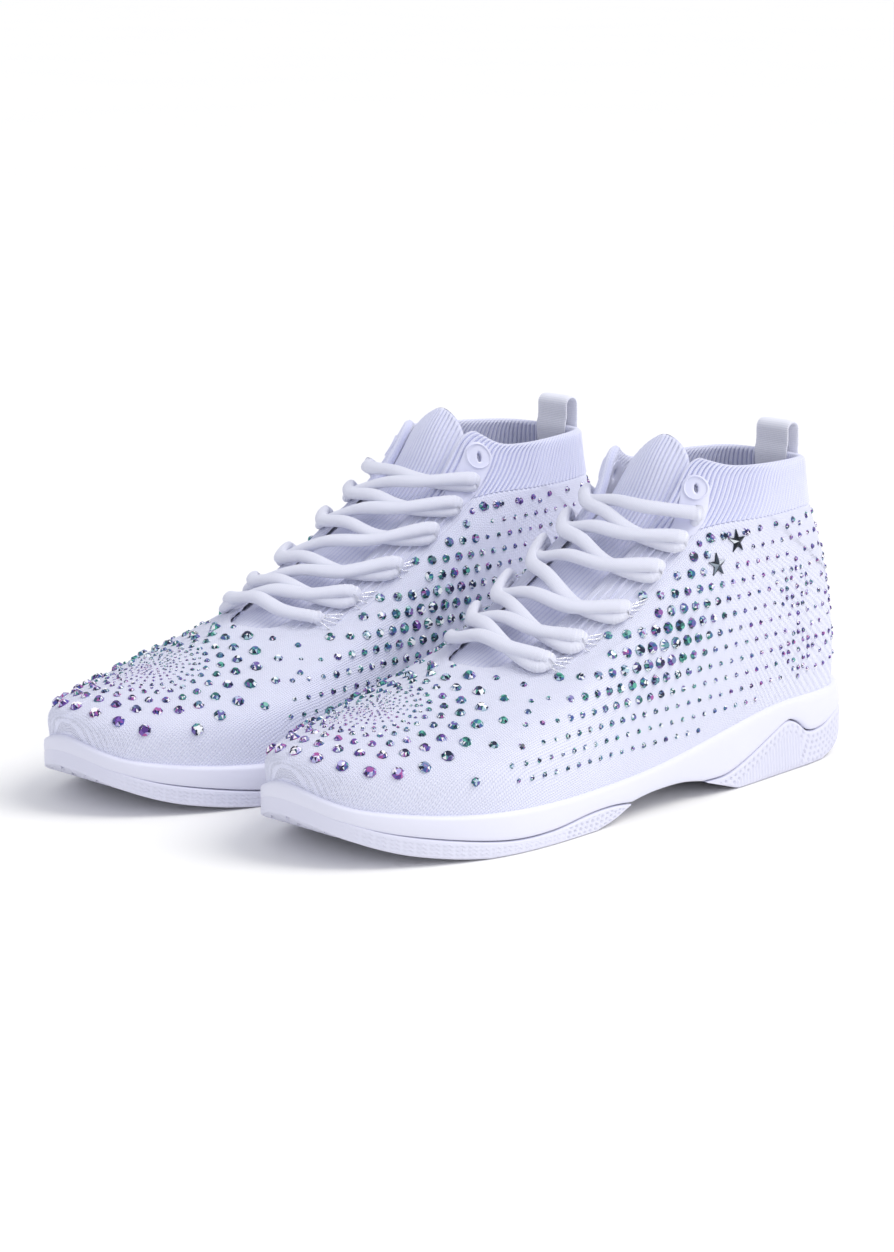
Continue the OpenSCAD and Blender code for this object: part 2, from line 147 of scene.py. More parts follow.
SOCKETS = {
    "ior": "IOR",
    "coat": "Coat Weight",
    "coat_roughness": "Coat Roughness",
    "sheen": "Sheen Weight",
    "sheen_roughness": "Sheen Roughness",
    "transmission": "Transmission Weight",
    "specular": "Specular IOR Level",
}

floor_half = 40  # metres
floor_mesh = bpy.data.meshes.new("floor")
floor_mesh.from_pydata(
    [(x * floor_half, y * floor_half, 0) for x, y in ((-1, -1), (1, -1), (1, 1), (-1, 1))],
    [], [(0, 1, 2, 3)],
)
floor = bpy.data.objects.new("floor", floor_mesh)
bpy.context.scene.collection.objects.link(floor)
paper = Finish("studio_paper")
floor_mesh.materials.append(paper.surface(
    color=paper.mix(paper.noise(3.0), (0.965, 0.96, 0.93), (0.985, 0.98, 0.95)), roughness=0.9, specular=0.1
))

world = bpy.data.worlds.new("studio")
world.use_nodes = True
world.node_tree.nodes["Background"].inputs["Color"].default_value = (0.90, 0.915, 1.0, 1)
world.node_tree.nodes["Background"].inputs["Strength"].default_value = 0.76
bpy.context.scene.world = world


def soft_light(name, place, size, power, color):
    lamp = bpy.data.lights.new(name, "AREA")
    lamp.shape = "DISK"
    lamp.size = size
    lamp.energy = power
    lamp.color = color
    made = bpy.data.objects.new(name, lamp)
    made.location = place
    made.rotation_euler = (Vector(place) - aim).to_track_quat("Z", "Y").to_euler()
    bpy.context.scene.collection.objects.link(made)


soft_light("key_light", (1.30, 0.75, 1.25), 0.9, 3.5, (1.0, 0.98, 0.94))
sky = bpy.data.lights.new("sky_light", "SUN")
sky.energy = 1.35
sky.angle = math.radians(38)
sky.color = (1.0, 0.985, 0.95)
sky_light = bpy.data.objects.new("sky_light", sky)
sky_light.rotation_euler = Vector((0.9, 0.75, 1.7)).to_track_quat("Z", "Y").to_euler()
bpy.context.scene.collection.objects.link(sky_light)

# --- Outsoles ---
# Two moulded rubber outsoles a shoe, one under the forefoot that rises as a toe
# bumper, one under the heel. Their sides carry a moulded relief, and the seam
# to the foam above is a thin groove.

# The last that every piece follows. Each row is one of its six levels, from the
# sole up to the rim, with seven points round the outer half from toe to heel.
LAST = np.array([
    [[0, -265, 27], [26, -252, 19.5], [45, -205, 14.5], [40, -135, 15],
     [33, -60, 26], [22, -12, 26], [0, 1, 28]],
    [[0, -262, 37], [27, -249, 33], [47, -203, 32], [41, -138, 36],
     [34, -62, 40], [23, -13, 40], [0, 1, 41]],
    [[0, -232, 45], [22, -224, 42.5], [42, -190, 42.5], [40, -140, 51],
     [34, -66, 58], [23, -15, 58], [0, -2, 59]],
    [[0, -176, 61], [20, -171, 58], [31, -152, 61], [35, -118, 72],
     [32.5, -70, 79], [23, -20, 79], [0, -8, 80]],
    [[0, -112, 97], [14, -110, 96], [26, -99, 97], [30, -82, 99],
     [30.5, -58, 99], [21, -25, 99], [0, -15, 100]],
    [[0, -89, 126], [10, -87, 125], [20, -82, 122], [26, -72, 119],
     [28, -53, 118], [20, -27, 117], [0, -18, 116]],
])
INNER_WIDTH = np.array([0.93, 0.94, 0.94, 0.97, 1, 1])
COLLAR_DIP = np.array([0, 1, 2.5, 2.5, 1.5, 0, 0])
inner_half = LAST[:, 5:0:-1] * [-1, 1, 1]
inner_half[:, :, 0] *= INNER_WIDTH[:, None]
inner_half[5, :, 2] -= COLLAR_DIP[5:0:-1]
rings = np.concatenate([LAST, inner_half], axis=1)
cage = np.concatenate([[2 * rings[0] - rings[1]], rings, [2 * rings[5] - rings[4]]])


def spline(a, b, c, d, t):
    """A smooth curve from b to c that heads for a before and d after."""
    return 0.5 * (2 * b + (c - a) * t + (2 * a - 5 * b + 4 * c - d) * t**2 + (3 * b - a - 3 * c + d) * t**3)


def skin(u, v):
    """Points of the foot's skin. u runs round it from 0 at the front middle, over the outer side to 6 at
    the heel and on to 12, and v runs up it from 0 at the sole to 5 at the rim."""
    u, v = np.broadcast_arrays(np.asarray(u, float), np.asarray(v, float))
    level = np.clip(np.floor(v), 0, 4).astype(int)
    station = np.floor(u).astype(int)
    along, up = (u - station)[..., None], (v - level)[..., None]
    levels = (
        spline(*(cage[level + row, (station + turn) % 12] for turn in (-1, 0, 1, 2)), along)
        for row in range(4)
    )
    return spline(*levels, up)


def unit(a):
    return a / np.maximum(np.linalg.norm(a, axis=-1, keepdims=True), 1e-12)


def outward(u, v):
    """The direction square to the skin."""
    step = 0.03
    w = np.clip(v, step, 5 - step)
    return unit(np.cross(skin(u + step, v) - skin(u - step, v), skin(u, w + step) - skin(u, w - step)))


def over(u, v, height):
    """Points at a height over the skin."""
    return skin(u, v) + np.asarray(height, float)[..., None] * outward(u, v)


def smoothstep(x, low, high):
    t = np.clip((np.asarray(x, float) - low) / (high - low), 0, 1)
    return t * t * (3 - 2 * t)


rests = {m["name"]: m["pos_m"] for m in frame["record"]["mounts"]}
heel_rest_from_heel = 0.050
SIDES = ("left", "right")


def placed(points, side):
    """Shoe points in millimetres, in the pair's frame in metres."""
    x, y, z = rests[side + "_heel_rest"]
    return np.asarray(points) * [1 if side == "left" else -1, 1, 1] / 1000 + [x, y + heel_rest_from_heel, z]


def grid(rows, columns, first=0, flip=False, wrap=False):
    """Four-sided faces of a grid of points, row by row. With wrap the last column joins the first."""
    r, c = np.meshgrid(np.arange(rows - 1), np.arange(columns if wrap else columns - 1), indexing="ij")
    here, right = first + r * columns + c, first + r * columns + (c + 1) % columns
    faces = np.stack([here, right, right + columns, here + columns], -1).reshape(-1, 4)
    return faces[:, ::-1] if flip else faces


weld = 2e-6  # metres, points nearer than this become one


def piece(name, side, parts, crease=40):
    """One mesh piece of one shoe. parts holds (points, faces, uv) in the shoe's frame, in millimetres."""
    points, faces, maps, count = [], [], [], 0
    for part_points, part_faces, part_uv in parts:
        part_points = np.asarray(part_points, float).reshape(-1, 3)
        points.append(part_points)
        faces.append(np.asarray(part_faces) + count)
        maps.append(np.zeros((len(part_points), 2)) if part_uv is None else np.reshape(part_uv, (-1, 2)))
        count += len(part_points)
    points = placed(np.concatenate(points), side)
    maps = np.concatenate(maps)
    polygons = [f if side == "left" else f[::-1] for block in faces for f in block.tolist()]
    mesh = bpy.data.meshes.new(name)
    mesh.from_pydata(points.tolist(), [], polygons)
    corner = np.zeros(len(mesh.loops), np.int32)
    mesh.loops.foreach_get("vertex_index", corner)
    mesh.uv_layers.new(name="UVMap").data.foreach_set("uv", maps[corner].astype(np.float32).ravel())
    work = bmesh.new()
    work.from_mesh(mesh)
    bmesh.ops.remove_doubles(work, verts=work.verts, dist=weld)
    bmesh.ops.dissolve_degenerate(work, edges=work.edges, dist=weld / 2)
    work.to_mesh(mesh)
    work.free()
    mesh.shade_smooth()
    mesh.set_sharp_from_angle(angle=math.radians(crease))
    made = bpy.data.objects.new(name, mesh)
    bpy.context.scene.collection.objects.link(made)
    return made


def dress(made, material, body, slot, *nodes):
    """Gives a finished piece its material and its body, and hides the CAD nodes that it stands for. slot is
    not used.
    """
    made.data.materials.clear()
    made.data.materials.append(material)
    if body:
        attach(made, body)
    if nodes:
        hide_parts(*nodes)


# Heights of the tread and of the foam seam above it, as (y, z).
TREAD_FRONT = [(-275, 26), (-268, 18.5), (-258, 11), (-243, 5), (-226, 1.6), (-212, 0)]
TREAD_BALL = [(-160, 0), (-150, 2.2), (-141, 6)]
SEAM_FRONT = [
    (-275, 34), (-264, 22), (-255, 16.2), (-239, 11), (-207, 5.6), (-185, 5),
    (-165, 7), (-152, 7.4), (-141, 6.5),
]
ARCH = [(-141, 6.3), (-128, 8), (-112, 8.2), (-98, 6.2)]
TREAD_REAR = [(-98, 6), (-88, 3), (-78, 0)]
TREAD_HEEL = [(-22, 0), (-12, 2.4), (-2, 7.5), (10, 16)]
SEAM_HEEL = [
    (-98, 6.4), (-86, 6.6), (-73, 10.5), (-58, 16.5), (-48, 20), (-41, 18.4),
    (-33, 13.6), (-23, 13.4), (-8, 17.2), (10, 19),
]


def smooth_line(*runs):
    """A height as a function of y, smooth within each run of given points and straight between runs."""
    ys, zs = [], []
    for run in runs:
        pts = np.array([run[0], *run, run[-1]], float)
        for k in range(len(run) - 1):
            for t in np.arange(0, 1, 1 / 20):
                y, z = spline(*pts[k:k + 4], t)
                ys.append(y)
                zs.append(z)
        ys.append(run[-1][0])
        zs.append(run[-1][1])
    return lambda y: np.interp(y, ys, zs)


tread_z = smooth_line(TREAD_FRONT, TREAD_BALL, ARCH, TREAD_REAR, TREAD_HEEL)
seam_z = smooth_line(SEAM_FRONT, ARCH, SEAM_HEEL)
heel_lip = 2.5
forefoot_end = -141
heel_start = -98


def outline(u, lip, share=1.0):
    """The sole's plan, a lip outside the edge of the upper, with its flare behind the heel."""
    p = skin(u, 0)
    t = unit(skin(u + 0.05, 0) - skin(u - 0.05, 0))
    rear = np.maximum(0, 1 + p[..., 1] / 60)
    return np.stack([
        p[..., 0] + lip * t[..., 1],
        p[..., 1] - lip * t[..., 0] + heel_lip * rear * share,
    ], -1)


def run_along(points):
    """The distance along a line of points to each of them."""
    return np.concatenate([[0], np.cumsum(np.linalg.norm(np.diff(points, axis=0), axis=1))])


def stations(low, high, count):
    """Evenly spaced u along the sole's edge, and their run in millimetres from the middle one."""
    u = np.linspace(low, high, 3000)
    run = run_along(skin(u, 0))
    even = np.linspace(0, run[-1], count)
    return np.interp(even, run, u), even - run[-1] / 2


def u_where(y, low, high):
    """The u between two others at which the sole's edge reaches y."""
    u = np.linspace(low, high, 2000)
    return float(np.interp(y, skin(u, 0)[:, 1], u))


def lattice(a, b, pitch_a, pitch_b):
    """Offsets from the nearest point of a staggered lattice, in pitches."""
    row = np.round(b / pitch_b)
    shifted = a / pitch_a - (row % 2) / 2
    return shifted - np.round(shifted), b / pitch_b - row


def lozenge(a, b, half_a, half_b):
    """One inside a lozenge, falling to nothing at its edge."""
    return smoothstep(1 - np.abs(a) / half_a - np.abs(b) / half_b, 0, 0.55)


def sole_part(low, high, columns, profile, floor_z, roof_z, relief, groove, across):
    """A part of the sole between two heights: its side wall, its bottom with a tread, and its top.
    profile lists (share of height, lip) up its side."""
    u, run = stations(low, high, columns)
    profile = np.array(profile)
    share, lip = profile[:, 0][:, None], profile[:, 1][:, None]
    edge = skin(u, 0)[:, 2]
    y_edge = outline(u, profile[0, 1])[:, 1]
    bottom, top = floor_z(y_edge, edge), roof_z(y_edge, edge)
    z = bottom + (top - bottom) * share
    flare = 1 - 0.6 * smoothstep(z, edge - 8, edge)
    swell = relief(np.broadcast_to(run, z.shape), z, np.broadcast_to(y_edge, z.shape), bottom, top)
    side = np.concatenate([outline(u[None], lip + swell, flare), z[..., None]], -1)
    parts = [(side, grid(len(profile), columns), np.stack(np.broadcast_arrays(run[None], z), -1))]
    half = (columns + 1) // 2
    for row, steps, flip in ((0, across, False), (-1, 5, True)):
        t = np.linspace(0, 1, steps)[None, :, None]
        a, b = side[row, :half][:, None], side[row, ::-1][:half][:, None]
        sheet = a * (1 - t) + b * t
        if row == 0:
            from_rim = np.minimum(t, 1 - t)[..., 0] * np.linalg.norm(b - a, axis=-1)
            fade = smoothstep(from_rim, 1.0, 3.0)
            own = floor_z(sheet[..., 1], sheet[..., 2])
            cut = groove(sheet[..., 0], sheet[..., 1])
            sheet[..., 2] = sheet[..., 2] * (1 - fade) + own * fade + fade * cut
        parts.append((sheet, grid(half, steps, flip=flip), sheet[..., :2]))
    return parts


tick_depth = 0.22
lozenge_depth = 0.6
upright_rib_pitch, upright_rib_depth = 1.9, 0.4


def forefoot_relief(run, z, y, bottom, top):
    """Broken zigzag ticks on the side, and rows of lozenges near the arch."""
    inside = smoothstep(z, bottom + 0.5, bottom + 1.1) * (1 - smoothstep(z, top - 1.3, top - 0.9))
    zigzag = np.abs((run / 2.3) % 1 - 0.5) * 2
    ticks = smoothstep(np.abs(((z - bottom + 0.9 * zigzag) / 1.45) % 1 - 0.5), 0.22, 0.34) * tick_depth
    ticks = ticks * smoothstep(np.abs((run / 4.6 + 0.25) % 1 - 0.5), 0.06, 0.12)
    a, b = lattice(np.abs(run) + 0.5 * z, z - bottom - 1.1, 3.0, 1.7)
    cells = lozenge(a, b, 0.36, 0.62) * -lozenge_depth
    hump = smoothstep(y, -181, -175)
    bumper = smoothstep(y, -262, -250)
    return inside * (ticks * (1 - hump) * bumper + cells * hump)


def heel_relief(run, z, y, bottom, top):
    """A lattice of lozenges round the edge, and upright ribs in the middle of each side."""
    inside = smoothstep(z, bottom + 0.4, bottom + 1.0) * (1 - smoothstep(z, top - 1.3, top - 0.8))
    panel = smoothstep(top - z, 4.6, 5.4) * smoothstep(y, -84, -80) * (1 - smoothstep(y, -40, -37))
    wave = np.sin(2 * math.pi * (y + 0.12 * z) / upright_rib_pitch)
    ribs = (0.5 + 0.5 * wave) * -upright_rib_depth
    a, b = lattice(y + 0.35 * z, z - seam_z(y), 3.1, 2.3)
    cells = lozenge(a, b, 0.34, 0.46) * -lozenge_depth
    return inside * (ribs * panel + cells * (1 - panel))


pivot_middle = (2, -192)
pivot_r, ring_pitch = 22.5, 5.0
bone_width, bone_pitch, bone_swing = 14.0, 5.2, 6.0
groove_depth = 1.1


def tread_groove(x, y):
    """Herringbone grooves round a pivot circle under the ball, cut up into the rubber."""
    from_pivot = np.hypot(x - pivot_middle[0], y - pivot_middle[1])
    rings_cut = smoothstep(np.abs((from_pivot / ring_pitch) % 1 - 0.5), 0.30, 0.40)
    wave = y + bone_swing * np.abs(((x + 40) / bone_width) % 1 - 0.5) * 2
    bones = smoothstep(np.abs((wave / bone_pitch) % 1 - 0.5), 0.31, 0.41)
    deep = np.where(from_pivot < pivot_r, rings_cut, bones) * groove_depth
    room = np.clip((seam_z(y) - tread_z(y)) / 4, 0, 1)
    return deep * room


def speckled(name, color, shade, scale, depth, roughness):
    """A moulded surface with a fine grain and a faint cloud of shade."""
    made = Finish(name)
    cloud = made.noise(14, 4)
    grain = made.noise(scale, 3, roughness=0.6)
    return made.surface(
        color=made.mix(made.mapped(cloud, 0.35, 0.65, 0, 1), shade, color),
        bump=grain, depth=depth, strength=0.7,
        roughness=made.mapped(grain, 0.3, 0.7, roughness - 0.06, roughness + 0.08),
        specular=0.4,
    )


outsole_rubber = speckled("outsole_rubber", (0.77, 0.775, 0.89), (0.72, 0.725, 0.85), 2600, 0.00005, 0.46)
RUBBER_SIDE = [
    (0, 0.3), (0.01, 0.8), (0.03, 1.3), (0.06, 1.7), (0.10, 1.9),
    *((f, 2.0) for f in np.linspace(0.14, 0.90, 20)),
    (0.935, 1.9), (0.965, 1.7), (0.985, 1.3), (1.0, 0.7), (1.0, -3),
]
groove_gap = 0.22
front_u = u_where(forefoot_end, 2, 4)
rear_u = u_where(heel_start, 3, 5)
for side in SIDES:
    forefoot = piece(side + "_forefoot_rubber", side, sole_part(
        -front_u, front_u, 701, RUBBER_SIDE, lambda y, edge: tread_z(y),
        lambda y, edge: np.minimum(seam_z(y), edge + 0.9) - groove_gap, forefoot_relief, tread_groove, 96,
    ), crease=50)
    dress(forefoot, outsole_rubber, side + "_shoe", "outsole_rubber", side + "_outsole_forefoot")
    heel = piece(side + "_heel_rubber", side, sole_part(
        rear_u, 12 - rear_u, 621, RUBBER_SIDE, lambda y, edge: tread_z(y),
        lambda y, edge: seam_z(y) - groove_gap, heel_relief, tread_groove, 90,
    ), crease=50)
    dress(heel, outsole_rubber, side + "_shoe", "outsole_rubber", side + "_outsole_heel")

# --- Midsole ---
# One block of satin EVA foam from toe to heel, bare along the side wall and
# under the arch, with a rounded top edge that holds the foot of the upper.
midsole_foam = speckled("midsole_foam", (0.81, 0.815, 0.92), (0.77, 0.775, 0.89), 1500, 0.00004, 0.52)
FOAM_SIDE = [
    (0, -3), (0, 0.7), (0.015, 1.3), (0.04, 1.6), (0.08, 1.75),
    *((f, 1.75 + 0.35 * math.sin(math.pi * f)) for f in np.linspace(0.12, 0.84, 14)),
    (0.88, 1.75), (0.92, 1.5), (0.96, 1.0), (0.985, 0.45), (1.0, -0.3), (0.98, -1.2),
]
midsole_rise = 1.0


def no_relief(run, z, y, bottom, top):
    return np.zeros_like(z)


def no_groove(x, y):
    return np.zeros_like(x)


for side in SIDES:
    midsole = piece(side + "_midsole_foam", side, sole_part(
        0, 12, 501, FOAM_SIDE,
        lambda y, edge: np.minimum(seam_z(y) + groove_gap, edge + midsole_rise),
        lambda y, edge: edge + midsole_rise,
        no_relief, no_groove, 40,
    ), crease=50)
    dress(midsole, midsole_foam, side + "_shoe", "midsole_foam", side + "_midsole")

# --- Inside the shoe ---
# A fibre board, a heel counter and a toe puff stiffen the shoe, hidden between
# the layers. A moulded foam insole with a cloth top lies loose on the board.


def finish_node(node, material):
    """Gives a CAD node a material of the builder's."""
    for held in frame["nodes"][node].material_slots:
        held.material = material


board_fibre = speckled("board_fibre", (0.62, 0.52, 0.38), (0.50, 0.41, 0.29), 900, 0.0001, 0.75)
stiffener_sheet = speckled("stiffener_sheet", (0.74, 0.74, 0.77), (0.66, 0.66, 0.70), 500, 0.00008, 0.55)
insole_cloth = speckled("insole_cloth", (0.80, 0.80, 0.86), (0.70, 0.70, 0.78), 3000, 0.0002, 0.9)
front_edge = skin(np.linspace(0, 6, 400), 0)
insole_low, insole_high = 2.1, 6.0
INSOLE_SIDE = [(0, -7.4), (0.1, -6.7), (0.3, -6.4), (0.7, -6.4), (0.9, -6.7), (1.0, -7.6)]


def edge_z(y):
    """The height of the last's lower edge at y."""
    return np.interp(y, front_edge[:, 1], front_edge[:, 2])


for side in SIDES:
    insole = piece(side + "_insole_pad", side, sole_part(
        0, 12, 241, INSOLE_SIDE,
        lambda y, edge: edge_z(y) + insole_low,
        lambda y, edge: edge_z(y) + insole_high,
        no_relief, no_groove, 24,
    ))
    dress(insole, insole_cloth, side + "_shoe", "insole_foam", side + "_insole")
    finish_node(side + "_lasting_board", board_fibre)
    finish_node(side + "_heel_counter", stiffener_sheet)
    finish_node(side + "_toe_puff", stiffener_sheet)

# --- Knit upper ---
# One weft knit sock, 2.2 mm thick. Its wales run parallel to the instep, its
# throat edge is rolled, and pleats lie beside the throat between the eyelets.
knit_t = 2.2
throat_foot = 2.85
upper_top = 4.03
centre_line = skin(0, np.linspace(1.35, 4.9, 700))
ahead, behind = unit(centre_line[0] - centre_line[3]), unit(centre_line[-1] - centre_line[-4])
centre_line = np.concatenate([
    centre_line[0] + ahead * np.linspace(90, 0.3, 180)[:, None], centre_line,
    centre_line[-1] + behind * np.linspace(0.5, 260, 520)[:, None],
])
centre_run = run_along(centre_line)


def tree_of(points):
    """A search tree that finds the nearest of the points."""
    tree = KDTree(len(points))
    for index, point in enumerate(points):
        tree.insert(point, index)
    tree.balance()
    return tree


centre_tree = tree_of(centre_line)


def throat(v):
    """Half the throat's opening in u: a round foot, then an edge that slants away up to the rim."""
    v = np.asarray(v, float)
    straight = 0.62 + 0.45 * (v - throat_foot)
    foot = np.sqrt(np.clip(1 - ((3.0 - v) / 0.15) ** 2, 0, 1))
    return np.where(v >= 3.0, straight, straight * foot) * (v > throat_foot)


def knit_uv(points, u):
    """Distance from the front middle line, signed by the side, and the run along it, in millimetres."""
    flat = points.reshape(-1, 3)
    found = [centre_tree.find(p) for p in flat]
    away = np.array([f[2] for f in found]).reshape(u.shape)
    run = centre_run[[f[1] for f in found]].reshape(u.shape)
    return np.stack([away * np.where(u > 6, -1, 1), run], -1)


def distance_to(points, line):
    tree = tree_of(line)
    return np.array([tree.find(p)[2] for p in points.reshape(-1, 3)]).reshape(points.shape[:-1])


def rolled(away, thickness):
    """Half the thickness of a sheet whose edge is rolled round."""
    return thickness / 2 * np.sqrt(1 - (1 - np.clip(away / (thickness / 2), 0, 1)) ** 2)


flap_lift = 5.5


def flap_flare(u, v):
    """How far the inner flap beside the throat stands out towards its top corner."""
    from_front = np.minimum(u, 12 - u)
    return flap_lift * smoothstep(v, 3.95, 5.0) * (1 - smoothstep(from_front, 1.5, 3.1)) * (u > 6)


def shell(u, v, high, low, uv):
    """A sheet between two heights over the skin, with walls at its first and last rows. Its other edges
    meet where its thickness runs out."""
    rows, columns = u.shape
    outer, inner = over(u, v, high), over(u, v, low)
    return [
        (outer, grid(rows, columns), uv),
        (inner, grid(rows, columns, flip=True), uv),
        (np.stack([inner[0], outer[0]]), grid(2, columns), np.stack([uv[0], uv[0]])),
        (np.stack([outer[-1], inner[-1]]), grid(2, columns), np.stack([uv[-1], uv[-1]])),
    ]


def mirrored_columns(first, half):
    """u of each row from the outer throat edge round the heel to the inner one, closer near the throat."""
    q = np.linspace(0, 1, half)
    outer = first[:, None] + (6 - first[:, None]) * (0.55 * q + 0.45 * q**2)
    return np.concatenate([outer, 12 - outer[:, -2::-1]], axis=1)


pleat_pitch, pleat_height = 2.7, 1.8


def pleats(away, run, v):
    """Folds that run along the throat: each rises slowly and drops into a crease."""
    number = np.floor(away / pleat_pitch)
    share = (away / pleat_pitch) % 1
    fold = share**1.5 * (1 - smoothstep(share, 0.86, 1.0)) - 0.35
    uneven = 0.65 + 0.35 * np.sin(run / 3.1 + 2.4 * number)
    zone = smoothstep(away, 1.6, 3.5) * (1 - smoothstep(away, 14, 18))
    return pleat_height * fold * uneven * zone * smoothstep(v, 2.9, 3.05) * (1 - smoothstep(v, 4.02, 4.1))


upper_rows = np.concatenate([
    np.linspace(-0.02, 2.80, 60), np.linspace(2.83, 3.02, 10), np.linspace(3.05, 3.96, 24),
    [3.985, 4.0, upper_top],
])
upper_u = mirrored_columns(throat(upper_rows), 196)
upper_v = np.broadcast_to(upper_rows[:, None], upper_u.shape)
throat_v = np.concatenate([np.linspace(throat_foot, 3.02, 60), np.linspace(3.03, 4.3, 160)])
throat_line = np.concatenate([skin(throat(throat_v), throat_v), skin(-throat(throat_v), throat_v)])
upper_points = skin(upper_u, upper_v)
upper_away = distance_to(upper_points, throat_line)
upper_uv = knit_uv(upper_points, upper_u)
upper_half = rolled(upper_away, knit_t)
tuck = 0.9 * smoothstep(upper_v, 3.97, 4.01)
upper_relief = pleats(upper_away, upper_uv[..., 1], upper_v) - tuck + flap_flare(upper_u, upper_v)
upper_parts = shell(
    upper_u, upper_v, upper_half - knit_t / 2 + upper_relief,
    -upper_half - knit_t / 2 + flap_flare(upper_u, upper_v), upper_uv,
)


def knitted(name, wale, course, color, shade, depth, strength=0.9, rib=None):
    """Weft knit: rows of V stitches, wales across the map's first axis and courses along its second. Its
    colour is painted shade: the low parts of the stitch relief take the shade colour and the high parts the
    given colour, and with rib the rib grooves are painted dark too.
    """
    made = Finish(name)
    across, along = made.uv()
    wobble = made.noise(55, 3)
    lane = made.math("ADD", made.math("DIVIDE", across, wale), made.math("MULTIPLY", wobble, 1.6))
    place = made.math("SUBTRACT", made.math("FRACT", lane), 0.5)
    lean = made.math("ABSOLUTE", place)
    beat = made.math("ADD", made.math("DIVIDE", along, course), made.math("MULTIPLY", lean, 1.6))
    stitch = made.math("SINE", made.math("MULTIPLY", beat, 2 * math.pi))
    ridge = made.math("SINE", made.math("MULTIPLY", lean, 2 * math.pi))
    height = made.math("ADD", made.math("MULTIPLY", ridge, 0.65), made.math("MULTIPLY", stitch, 0.22))
    fuzz = made.noise(1800, 3)
    height = made.math("ADD", height, made.math("MULTIPLY", fuzz, 0.35))
    cloud = made.mapped(made.noise(22, 4), 0.3, 0.7, 0.0, 0.25)
    # Painted shade: the knit's hollows take the shade colour, its ridges the given colour.
    light = made.math("MAXIMUM", made.mapped(height, -0.1, 0.75, 0, 1), cloud)
    # With rib, the grooves between the ribs are painted nearly to the shade colour: painted shade in the
    # grooves.
    if rib:
        crest = made.math("ABSOLUTE", made.math("SINE", made.math("MULTIPLY", across, math.pi / rib)))
        light = made.math("MULTIPLY", light, made.mapped(crest, 0.0, 0.75, 0.05, 1.0))
    return made.surface(
        color=made.mix(light, shade, color), bump=height, depth=depth, strength=strength,
        roughness=made.mapped(fuzz, 0.3, 0.7, 0.78, 0.92), sheen=0.25, sheen_roughness=0.5, specular=0.25,
    )


# knit_shade is the painted shade colour of the stitch valleys.
knit_white = (0.83, 0.845, 0.98)
knit_shade = (0.66, 0.68, 0.87)
fine_wale, fine_course = 1.15, 0.95
fine_knit = knitted("fine_knit", fine_wale, fine_course, knit_white, knit_shade, 0.00026)
for side in SIDES:
    upper = piece(side + "_upper_knit", side, upper_parts, crease=60)
    dress(upper, fine_knit, side + "_shoe", "knit", side + "_knit_upper")

# --- Ribbed collar ---
# A rib knit cuff, 3.2 mm thick and 20 mm high, with a rolled rim. It ends in
# rounded corners beside the throat, and a slot is cut for the free eyelet.
collar_t = 3.2
rib_count, rib_steps, rib_pitch = 94, 8, 2.0
collar_rows = np.concatenate([
    [4.0, 4.006, 4.03], np.linspace(4.07, 4.88, 18),
    [4.905, 4.925, 4.945, 4.96, 4.972, 4.982, 4.99, 4.996, 5.0],
])
# Each side's free eyelet and top laced one, as (u, v).
EYELETS = {"outer": ((1.95, 4.55), (2.16, 4.13)), "inner": ((9.85, 4.62), (9.86, 4.17))}
slot_half = (0.8, 1.9)
cut_half = (1.7, 2.8)


corner_u, corner_v = 0.36, 0.28


def collar_edge(v):
    """Half the collar's opening in u, with its top corner rounded off."""
    corner = np.clip(v - (5 - corner_v), 0, 1) / corner_v
    return throat(v) + corner_u * (1 - np.sqrt(np.clip(1 - corner**2, 0, 1)))


def tangent_frame(u, v):
    """A point of the skin with its unit directions: across, up and outward."""
    n = outward(u, v)
    up = unit(np.array([0, 0, 1.0]) - n * n[2])
    return skin(u, v), np.cross(up, n), up, n


def local_offsets(points, place):
    origin, across, up, _ = tangent_frame(*place)
    return (points - origin) @ across, (points - origin) @ up


q = np.linspace(0, 1, 4001)
probe = skin(collar_edge(4.5) + (12 - 2 * collar_edge(4.5)) * q, 4.5)
probe_run = run_along(probe)
rib_columns = rib_count * rib_steps + 1
even_q = np.interp(np.linspace(0, 1, rib_columns), probe_run / probe_run[-1], q)
half_share = np.minimum(even_q, 1 - even_q) * 2
edge_u = collar_edge(collar_rows)[:, None]
collar_u = edge_u + (6 - edge_u) * half_share
collar_u = np.where(even_q > 0.5, 12 - collar_u, collar_u)
collar_v = np.broadcast_to(collar_rows[:, None], collar_u.shape)
collar_points = skin(collar_u, collar_v)
free_edge = np.concatenate([collar_points[:, 0], collar_points[-1], collar_points[:, -1]])
collar_away = distance_to(collar_points, free_edge)


patch_mask = np.zeros(collar_u.shape)
for free, laced in EYELETS.values():
    a, b = local_offsets(collar_points, free)
    c, d = local_offsets(skin(*laced), free)
    t = np.clip((a * c + b * d) / (c * c + d * d), 0, 1)
    reach = np.hypot(a - t * c, b - t * d)
    near = np.linalg.norm(collar_points - skin(*free), axis=-1) < 22
    patch_mask = np.maximum(patch_mask, near * (1 - smoothstep(reach, 3.6, 5.0)))
collar_half = rolled(collar_away, collar_t)
rib_crest = np.abs(np.sin(math.pi * np.linspace(0, rib_count, rib_columns)))
rib = (1.35 * rib_crest - 0.95) * smoothstep(collar_away, 0.2, 2.0) * (1 - 0.85 * patch_mask)
flare = flap_flare(collar_u, collar_v)
collar_high = collar_half - collar_t / 2 + rib + flare
collar_low = -collar_half - collar_t / 2 - rib * 0.8 + flare
collar_uv = np.stack(np.broadcast_arrays(
    np.linspace(0, rib_count, rib_columns)[None] * rib_pitch, (collar_v - 4) * 20), -1)


